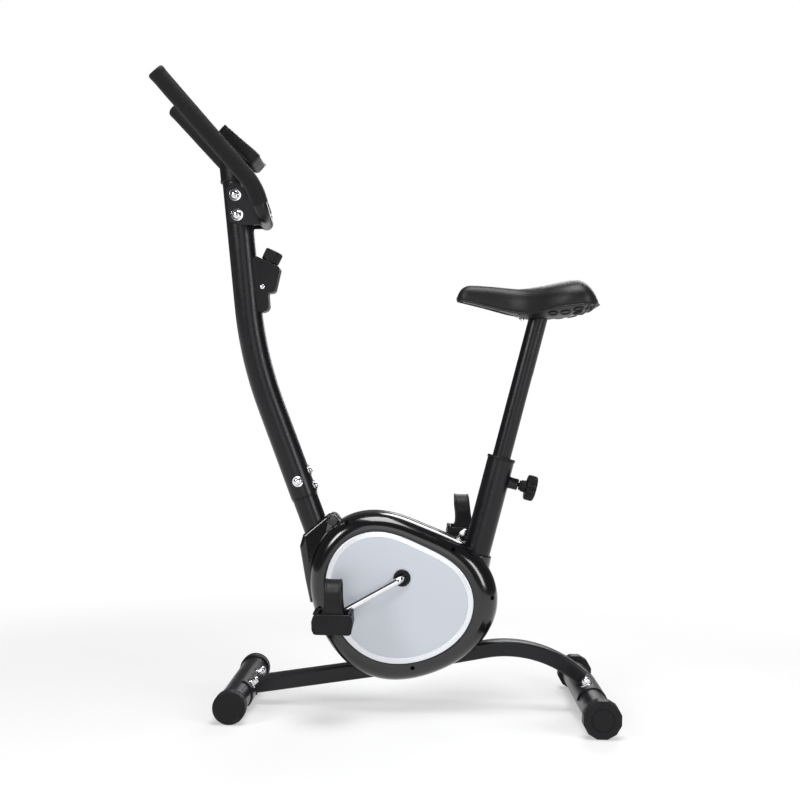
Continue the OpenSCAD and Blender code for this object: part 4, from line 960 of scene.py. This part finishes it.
def strap(c, s, lean=0.0, lift=0.0):
    """A moulded strap: it comes up inside the pedal's inner edge, over the foot, and down inside its outer edge."""
    pts = [V(0, 106, 2), V(0, 104.5, 22), V(0, 101, 46), V(0, 110, 65), V(0, 134, 70.5), V(0, 157, 64), V(0, 171, 47), V(0, 165.5, 34), V(0, 169, 18), V(0, 168.4, 2)]
    path = rounded(pts, [0, 40, 22, 22, 40, 26, 12, 10, 14, 0], 7)
    dense = []
    for a, b in zip(path, path[1:]):
        m = max(1, int((b - a).length / 2.2))
        dense += [a + (b - a) * (i / m) for i in range(m)]
    dense.append(path[-1])
    L = sum((b - a).length for a, b in zip(dense, dense[1:]))

    def prof(i, q):
        f = q / L
        w = 14.4 + 3.4 * math.exp(-((f - 0.04) / 0.10) ** 2) + 3.4 * math.exp(-((f - 0.96) / 0.10) ** 2) + 1.0 * math.exp(-((f - 0.74) / 0.07) ** 2)
        t = 1.5
        edge = 0.8
        out = []
        for x, z in ((-w, 0), (-w + 0.3, -t * 0.9), (-w + 1.4, -t - edge), (-w + 3.2, -t - edge), (-w + 4.2, -t), (w - 4.2, -t), (w - 3.2, -t - edge), (w - 1.4, -t - edge), (w - 0.3, -t * 0.9), (w, 0), (w - 0.4, t * 0.8), (w - 1.4, t), (-w + 1.4, t), (-w + 0.4, t * 0.8)):
            out.append((z, x))
        return out
    fr = frames(dense, V(0, 1, 0.1))
    verts, faces = [], []
    q = 0
    n = 14
    for i, (p, t_, a, b) in enumerate(fr):
        if i:
            q += (dense[i] - dense[i - 1]).length
        nrm = V(1, 0, 0).cross(t_)
        verts += [p + nrm * (-z) + V(1, 0, 0) * x for z, x in prof(i, q)]
    m = len(fr)
    for i in range(m - 1):
        for k in range(n):
            faces.append((i * n + k, i * n + (k + 1) % n, (i + 1) * n + (k + 1) % n, (i + 1) * n + k))
    faces.append(tuple(range(n)))
    faces.append(tuple((m - 1) * n + k for k in range(n))[::-1])
    P_ = [(verts, faces)]

    def at(f0):
        q = 0
        for i in range(1, len(dense)):
            st_ = (dense[i] - dense[i - 1]).length
            if q + st_ >= f0 * L:
                return dense[i], (dense[i] - dense[i - 1]).normalized()
            q += st_
        return dense[-1], (dense[-1] - dense[-2]).normalized()
    # raised bars near the crown that the tail hooks on
    for f0 in (0.40, 0.43, 0.46, 0.49, 0.52, 0.55, 0.58, 0.61):
        p, t_ = at(f0)
        nrm = V(1, 0, 0).cross(t_)
        box = []
        for x, yy, z in ((-9, -1.2, 1.0), (9, -1.2, 1.0), (9, 1.2, 1.0), (-9, 1.2, 1.0), (-8.2, -0.6, 2.4), (8.2, -0.6, 2.4), (8.2, 0.6, 2.4), (-8.2, 0.6, 2.4)):
            box.append(p + V(1, 0, 0) * x + t_ * yy - nrm * z)
        P_.append((box, [(3, 2, 1, 0), (4, 5, 6, 7), (0, 1, 5, 4), (1, 2, 6, 5), (2, 3, 7, 6), (3, 0, 4, 7)]))
    # tabs at both ends that hook into the tray
    for yy in (106, 168.4):
        for x in (-16.5, 16.5):
            P_.append(prism([(x - 2.4, -2), (x + 2.4, -2), (x + 2.0, 17.5), (x - 2.0, 17.5)], yy - 1.9, yy + 1.9, 0.7, 2))
    part = join(*P_)
    part = ([V(v[0] - lean * max(0.0, v[2] - 8), v[1], v[2] + lift * max(0.0, v[2] - 8) / 62) + V(c[0], 0, c[2]) for v in part[0]], part[1])
    return mirror_y(part, s)


for c, s, side, bd in ((eL, -1, "left", "pedal_l"), (eR, 1, "right", "pedal_r")):
    finish_mesh("pedal_body_" + side, *pedal(c, s), "black_plastic", bd, ["pedal_" + side], angle=28)
    finish_mesh("foot_strap_" + side, *strap(c, s, 0.02 if s < 0 else 0.13, 0 if s < 0 else 5), "strap_vinyl", bd, ["strap_" + side])

# ------------------------------------------------------------------ seat pin and knob
finish_mesh("height_pin_rod", *lathe(pin_0, pn, soft([(0, 15.8), (3.2, 15.8), (4.1, 16.8), (4.1, 40)], 0.3) + [(4.1 - 0.35 * (i % 2), 40 + i * 0.55) for i in range(24)] + [(4.1, 53.5), (0, 62)], 40), "chrome", "height_pin", ["seat_pin"])
prof = soft([(4.2, 44.2), (8.6, 44.2), (9.2, 45), (9.2, 47.4), (10.6, 48), (11.4, 54.5), (12.6, 56.4), (19.0, 56.8), (22.0, 57.6), (23.4, 59.2)], 0.6) + [(23.9, 60.4), (24.0, 62), (24.0, 66), (24.0, 70.4), (23.6, 72.4)] + soft([(22.4, 74.2), (20.0, 75.6), (17.2, 76.2), (15.6, 75.2), (0, 74.6)], 1.0)
finish_mesh("height_knob_head", *lathe(pin_0, pn, prof, 300, lambda i, a, r, h: (-3.0 * (0.5 + 0.5 * cos(12 * a)) ** 2.4) * (1 if h > 58.4 else 0) if r > 18 else 0), "black_plastic", "height_knob", ["seat_knob"])


# ------------------------------------------------------------------ saddle
def interp(x, pts):
    """Smooth curve through points (monotone in x)."""
    if x <= pts[0][0]:
        return pts[0][1]
    for i in range(len(pts) - 1):
        x0, y0 = pts[i]
        x1, y1 = pts[i + 1]
        if x <= x1:
            m0 = (y1 - pts[i - 1][1]) / (x1 - pts[i - 1][0]) if i else (y1 - y0) / (x1 - x0)
            m1 = (pts[i + 2][1] - y0) / (pts[i + 2][0] - x0) if i < len(pts) - 2 else (y1 - y0) / (x1 - x0)
            t = (x - x0) / (x1 - x0)
            h = x1 - x0
            return (2 * t ** 3 - 3 * t ** 2 + 1) * y0 + (t ** 3 - 2 * t ** 2 + t) * h * m0 + (-2 * t ** 3 + 3 * t ** 2) * y1 + (t ** 3 - t ** 2) * h * m1
    return pts[-1][1]


TOP = [(126, 757), (128.5, 766), (133, 774.5), (140, 780.3), (148, 783.2), (170, 783.6), (194.8, 782.8), (220, 781.0), (246, 779.8), (283.7, 784.7), (316.8, 793.0), (335, 796.9), (346, 797.4), (356.5, 793.5), (366, 784.5), (375, 770.5), (381, 758), (384.5, 749.5)]
BOT = [(126, 752), (140, 750.0), (180, 741.5), (216, 733.0), (240, 729.3), (256, 728.2), (279, 731.6), (296, 736.2), (330, 740.6), (360, 744.2), (384.5, 747)]
WID = [(126, 5), (128.5, 12.5), (133, 18.5), (140, 22.5), (150, 24.6), (175, 26.6), (205, 29.5), (228, 34.8), (250, 46), (272, 63.5), (294, 82.5), (315, 95.5), (335, 101.5), (352, 101.6), (364, 96.5), (373, 86), (379.5, 70), (384.5, 48)]
xs = [126, 127, 128.5, 130.5, 133, 136, 140, 145] + [150 + 5.6 * i for i in range(38)] + [361.5, 365, 368.5, 372, 375, 377.8, 380, 382, 383.5, 384.5]
NS = 30


def saddle_row(x, shrink=0.0):
    zt, zb, w = interp(x, TOP) - shrink, interp(x, BOT), interp(x, WID) - shrink * 0.8
    # the wings stand a little above the middle at the rear, and a shallow channel runs down the nose
    wing = max(0.0, min(1.0, (x - 275) / 60)) * max(0.0, min(1.0, (385 - x) / 25))
    row = []
    for k in range(NS + 1):
        f = -1 + 2 * k / NS
        a = f * math.pi / 2
        y = w * math.copysign(abs(sin(a)) ** 0.86, a)
        z = zb + (zt - zb) * cos(a) ** 0.62 if abs(f) < 1 else zb
        q = abs(y) / max(1, w)
        z -= wing * 2.4 * math.exp(-(q / 0.30) ** 2)
        z -= 1.1 * math.exp(-(y / 9.0) ** 2) * max(0.0, min(1.0, (x - 150) / 40))
        row.append(V(x, y, z))
    lip = min(6.0, w * 0.4)
    for f in (1.0, 0.5, 0.0, -0.5, -1.0):
        row.append(V(x, (w - lip) * f, zb + 3.5 + (4.0 if abs(f) < 0.9 else 0.0) - (0.8 if abs(f) > 0.9 else 0)))
    return row


def saddle_mesh(shrink=0.0):
    rows = [saddle_row(x, shrink) for x in xs]
    n = len(rows[0])
    verts = [v for r in rows for v in r]
    faces = []
    for i in range(len(rows) - 1):
        for k in range(n):
            faces.append((i * n + k, i * n + (k + 1) % n, (i + 1) * n + (k + 1) % n, (i + 1) * n + k))
    faces.append(tuple(range(n))[::-1])
    faces.append(tuple((len(rows) - 1) * n + k for k in range(n)))
    return verts, faces, n


SHR = 2.2
v, f, nrow = saddle_mesh(SHR)
cush = finish_mesh("saddle_cushion_cover", v, f, "saddle_cover", "seat", ["saddle_cushion"], angle=60)


def inflate(ob, pressure=3.0, cap=0.0032, pin_low=None, frames_=16):
    """Swells the foam inside its cover with a cloth run; the skirt's hem stays where it is sewn down."""
    src = ob.data
    dup = bpy.data.objects.new("sim", src.copy())
    bpy.context.scene.collection.objects.link(dup)
    vg = dup.vertex_groups.new(name="pin")
    for i, vv in enumerate(dup.data.vertices):
        vg.add([i], pin_low(vv.co), "REPLACE")
    m = dup.modifiers.new("cloth", "CLOTH")
    cs = m.settings
    cs.quality = 6
    cs.mass = 0.3
    cs.tension_stiffness = 18
    cs.compression_stiffness = 18
    cs.shear_stiffness = 6
    cs.bending_stiffness = 4
    cs.use_pressure = True
    cs.uniform_pressure_force = pressure
    cs.effector_weights.gravity = 0
    cs.vertex_group_mass = "pin"
    m.collision_settings.use_collision = False
    m.point_cache.frame_start = 1
    m.point_cache.frame_end = frames_
    sc = bpy.context.scene
    for fr_ in range(1, frames_ + 1):
        sc.frame_set(fr_)
    dg = bpy.context.evaluated_depsgraph_get()
    ev = dup.evaluated_get(dg)
    new = [vv.co.copy() for vv in ev.data.vertices]
    for vv, c in zip(src.vertices, new):
        dlt = c - vv.co
        if dlt.length > cap:
            dlt = dlt.normalized() * cap
        vv.co = vv.co + dlt
    src.update()
    bpy.data.objects.remove(dup)
    sc.frame_set(1)


inflate(cush, 3.0, 0.0030, lambda c: 1.0 if c.z < (interp(c.x * 1000 - XR, BOT) + 5) / 1000 else max(0.0, 0.25 - 0.01 * (c.z * 1000 - interp(c.x * 1000 - XR, BOT))))
cush.data.shade_smooth()
cush.data.set_sharp_from_angle(angle=rad(60))
sub = cush.modifiers.new("smooth", "SUBSURF")
sub.levels = 1
sub.render_levels = 2

# hem bead that rolls the cover over the pan's rim, in one loop
hem = []
for s in (1, -1):
    side_ = [V(x, s * (interp(x, WID) - 1.8), interp(x, BOT) + 0.6) for x in xs[2:-1]]
    hem += side_ if s > 0 else side_[::-1]
    if s > 0:
        w_ = interp(384.5, WID) - 4
        hem += [V(384.0, w_ * k, interp(384.5, BOT) + 0.6) for k in (1, 0.6, 0.2, -0.2, -0.6, -1)]
finish_mesh("saddle_hem", *sweep(hem, lambda i, q: [(1.6 * cos(TAU * k / 10), 1.6 * sin(TAU * k / 10)) for k in range(10)], up=V(0, 0, 1)), "saddle_cover", "seat")

# pan: a ribbed moulded tray
PAN = [(138, 750), (160, 746), (190, 740), (216, 734), (240, 726), (258.7, 721.5), (280, 721.6), (298.6, 723.5), (329.7, 727.5), (352, 733), (370, 739.5), (384, 746)]
rows = []
pxs = [138 + 5.9 * i for i in range(42)]
for x in pxs:
    w = max(3.0, interp(x, WID) - 3.2)
    ze, zc = interp(x, BOT) + 1.5, interp(x, PAN)
    row = []
    for k in range(25):
        f = -1 + k / 12
        q = abs(f)
        zz = ze + (zc - ze) * (1 - q ** 2.6)
        row.append(V(x, w * f, min(ze, zz)))
    for k in range(24, -1, -1):
        f = -1 + k / 12
        row.append(V(x, (w - 0.6) * f, min(ze, ze + (zc - ze) * (1 - abs(f) ** 2.6)) + 2.4))
    rows.append(row)
n = len(rows[0])
verts = [q for r in rows for q in r]
faces = []
for i in range(len(rows) - 1):
    for k in range(n):
        faces.append((i * n + k, i * n + (k + 1) % n, (i + 1) * n + (k + 1) % n, (i + 1) * n + k))
faces.append(tuple(range(n))[::-1])
faces.append(tuple((len(rows) - 1) * n + k for k in range(n)))
pan_parts = [(verts, faces)]


def pan_z(x, y):
    w = max(3.0, interp(x, WID) - 3.2)
    ze, zc = interp(x, BOT) + 1.5, interp(x, PAN)
    return min(ze, ze + (zc - ze) * (1 - min(1, abs(y) / w) ** 2.6))


# ribs across the tray and a bead round each lightening pocket
for x in (176, 206, 362, 374):
    w = interp(x, WID) - 8
    pts = [V(x, -w + 2 * w * k / 20, pan_z(x, -w + 2 * w * k / 20) - 0.4) for k in range(21)]
    pan_parts.append(sweep(pts, lambda i, q: [(1.0 * a, 1.8 * b) for a, b in ((-1, -1), (1, -1), (1, 1), (-1, 1))], up=V(1, 0, 0)))
for s in (-1, 1):
    for x0, y0, rx, ry in ((322, 62, 9, 11), (346, 44, 8, 9), (344, 74, 9, 10), (300, 58, 8, 9), (364, 60, 6, 10)):
        pts = []
        for k in range(25):
            a = TAU * k / 24
            x, y = x0 + rx * cos(a), s * (y0 + ry * sin(a))
            pts.append(V(x, y, pan_z(x, y) - 0.7))
        pan_parts.append(sweep(pts, lambda i, q: [(1.2 * cos(TAU * k / 8), 1.2 * sin(TAU * k / 8)) for k in range(8)], up=V(0, 0, 1)))
finish_mesh("saddle_tray", *join(*pan_parts), "black_plastic", "seat", ["saddle_pan"], angle=40)
post_top = post_0 + pt * 282
pa = rad(7)
pu, pw = V(cos(pa), 0, sin(pa)), V(-sin(pa), 0, cos(pa))
nutp = []
for a, b in ((-34, 0), (56, -18), (56, 18)):
    o = post_top + pu * a + V(0, b, 0)
    nutp.append(lathe(o, -pw, soft([(0, 4.0), (7.4, 4.0), (7.4, 5.3), (0, 5.3)], 0.3), 32))
    nutp.append(hexnut(o, -pw, 6.2, 5.0, 5.3, 0.3))
    nutp.append(lathe(o, -pw, soft([(0, -1), (3, -1), (3, 12.6), (2.4, 13), (0, 13)], 0.3), 24))
finish_mesh("saddle_plate_nuts", *join(*nutp), "chrome", "seat", ["saddle_nuts"])

# softened edges on the CAD pieces that stay
for nme, wd in (("handlebar_bracket", 0.0007), ("seat_post", 0.0004)):
    m = NODES[nme].modifiers.new("edge", "BEVEL")
    m.width = wd
    m.segments = 2
    m.limit_method = "ANGLE"
    m.angle_limit = rad(50)
    m.harden_normals = False

# ------------------------------------------------------------------ floor, lights, camera
me = bpy.data.meshes.new("floor")
bm = bmesh.new()
bmesh.ops.create_grid(bm, x_segments=2, y_segments=2, size=14)
bm.to_mesh(me)
bm.free()
floor = bpy.data.objects.new("floor", me)
bpy.context.scene.collection.objects.link(floor)
floor.location = (0, 0, -0.0002)
fm = bpy.data.materials.new("floor_paper")
fm.use_nodes = True
nt = fm.node_tree
bs = nt.nodes["Principled BSDF"]
bs.inputs["Base Color"].default_value = (0.90, 0.90, 0.905, 1)
bs.inputs["Roughness"].default_value = 0.55
bs.inputs["Specular IOR Level"].default_value = 0.25
em = nt.nodes.new("ShaderNodeEmission")
em.inputs["Color"].default_value = (1, 1, 1, 1)
em.inputs["Strength"].default_value = 1.0
mixs = nt.nodes.new("ShaderNodeMixShader")
tc = nt.nodes.new("ShaderNodeTexCoord")
vl = nt.nodes.new("ShaderNodeVectorMath")
vl.operation = "LENGTH"
mr = nt.nodes.new("ShaderNodeMapRange")
mr.interpolation_type = "SMOOTHSTEP"
mr.inputs["From Min"].default_value = 0.75
mr.inputs["From Max"].default_value = 1.5
mr.inputs["To Min"].default_value = 0.42
nt.links.new(tc.outputs["Object"], vl.inputs[0])
nt.links.new(vl.outputs["Value"], mr.inputs["Value"])
nt.links.new(mr.outputs["Result"], mixs.inputs[0])
nt.links.new(bs.outputs[0], mixs.inputs[1])
nt.links.new(em.outputs[0], mixs.inputs[2])
nt.links.new(mixs.outputs[0], nt.nodes["Material Output"].inputs["Surface"])
me.materials.append(fm)

w = bpy.data.worlds.new("studio")
bpy.context.scene.world = w
w.use_nodes = True
nt = w.node_tree
bg = nt.nodes["Background"]
bg.inputs["Color"].default_value = (1, 1, 1, 1)
bg.inputs["Strength"].default_value = 1.0
bg2 = nt.nodes.new("ShaderNodeBackground")
bg2.inputs["Color"].default_value = (0.97, 0.98, 1, 1)
bg2.inputs["Strength"].default_value = 0.10
lp = nt.nodes.new("ShaderNodeLightPath")
mx = nt.nodes.new("ShaderNodeMixShader")
nt.links.new(lp.outputs["Is Camera Ray"], mx.inputs[0])
nt.links.new(bg2.outputs[0], mx.inputs[1])
nt.links.new(bg.outputs[0], mx.inputs[2])
nt.links.new(mx.outputs[0], nt.nodes["World Output"].inputs["Surface"])


def area(name, loc, target, size, energy, size_y=None):
    ld = bpy.data.lights.new(name, "AREA")
    ld.energy = energy
    ld.size = size
    if size_y:
        ld.shape = "RECTANGLE"
        ld.size_y = size_y
    o = bpy.data.objects.new(name, ld)
    bpy.context.scene.collection.objects.link(o)
    o.location = loc
    o.rotation_euler = (Vector(target) - Vector(loc)).to_track_quat("-Z", "Y").to_euler()
    return o


area("top_soft", (0.1, -0.2, 2.9), (0, 0, 0.4), 1.5, 62)
area("key_left", (-2.1, -2.2, 1.9), (0, 0, 0.5), 0.7, 40, 1.1)
area("fill_right", (2.3, -1.9, 1.3), (0, 0, 0.5), 0.6, 30, 1.5)
area("rim_back", (0.8, 2.6, 1.8), (0, 0, 0.6), 1.4, 30)
area("front_low", (0.2, -3.2, 1.0), (0.03, 0, 0.25), 1.6, 13)

cam = bpy.data.cameras.new("camera")
cam.sensor_width = 36
cam.lens = 57.35
cam.shift_x = -0.0284
cam.shift_y = 0.0178
co = bpy.data.objects.new("camera", cam)
bpy.context.scene.collection.objects.link(co)
rho = 0.026
co.matrix_world = Matrix(((cos(rho), -sin(rho), 0, (69 + XR) / 1000), (0, 0, -1, -2.36), (sin(rho), cos(rho), 0, 0.54085), (0, 0, 0, 1)))
bpy.context.scene.camera = co
sc = bpy.context.scene
sc.view_settings.view_transform = "Standard"
sc.view_settings.look = "None"
sc.view_settings.exposure = 0
sc.view_settings.gamma = 1
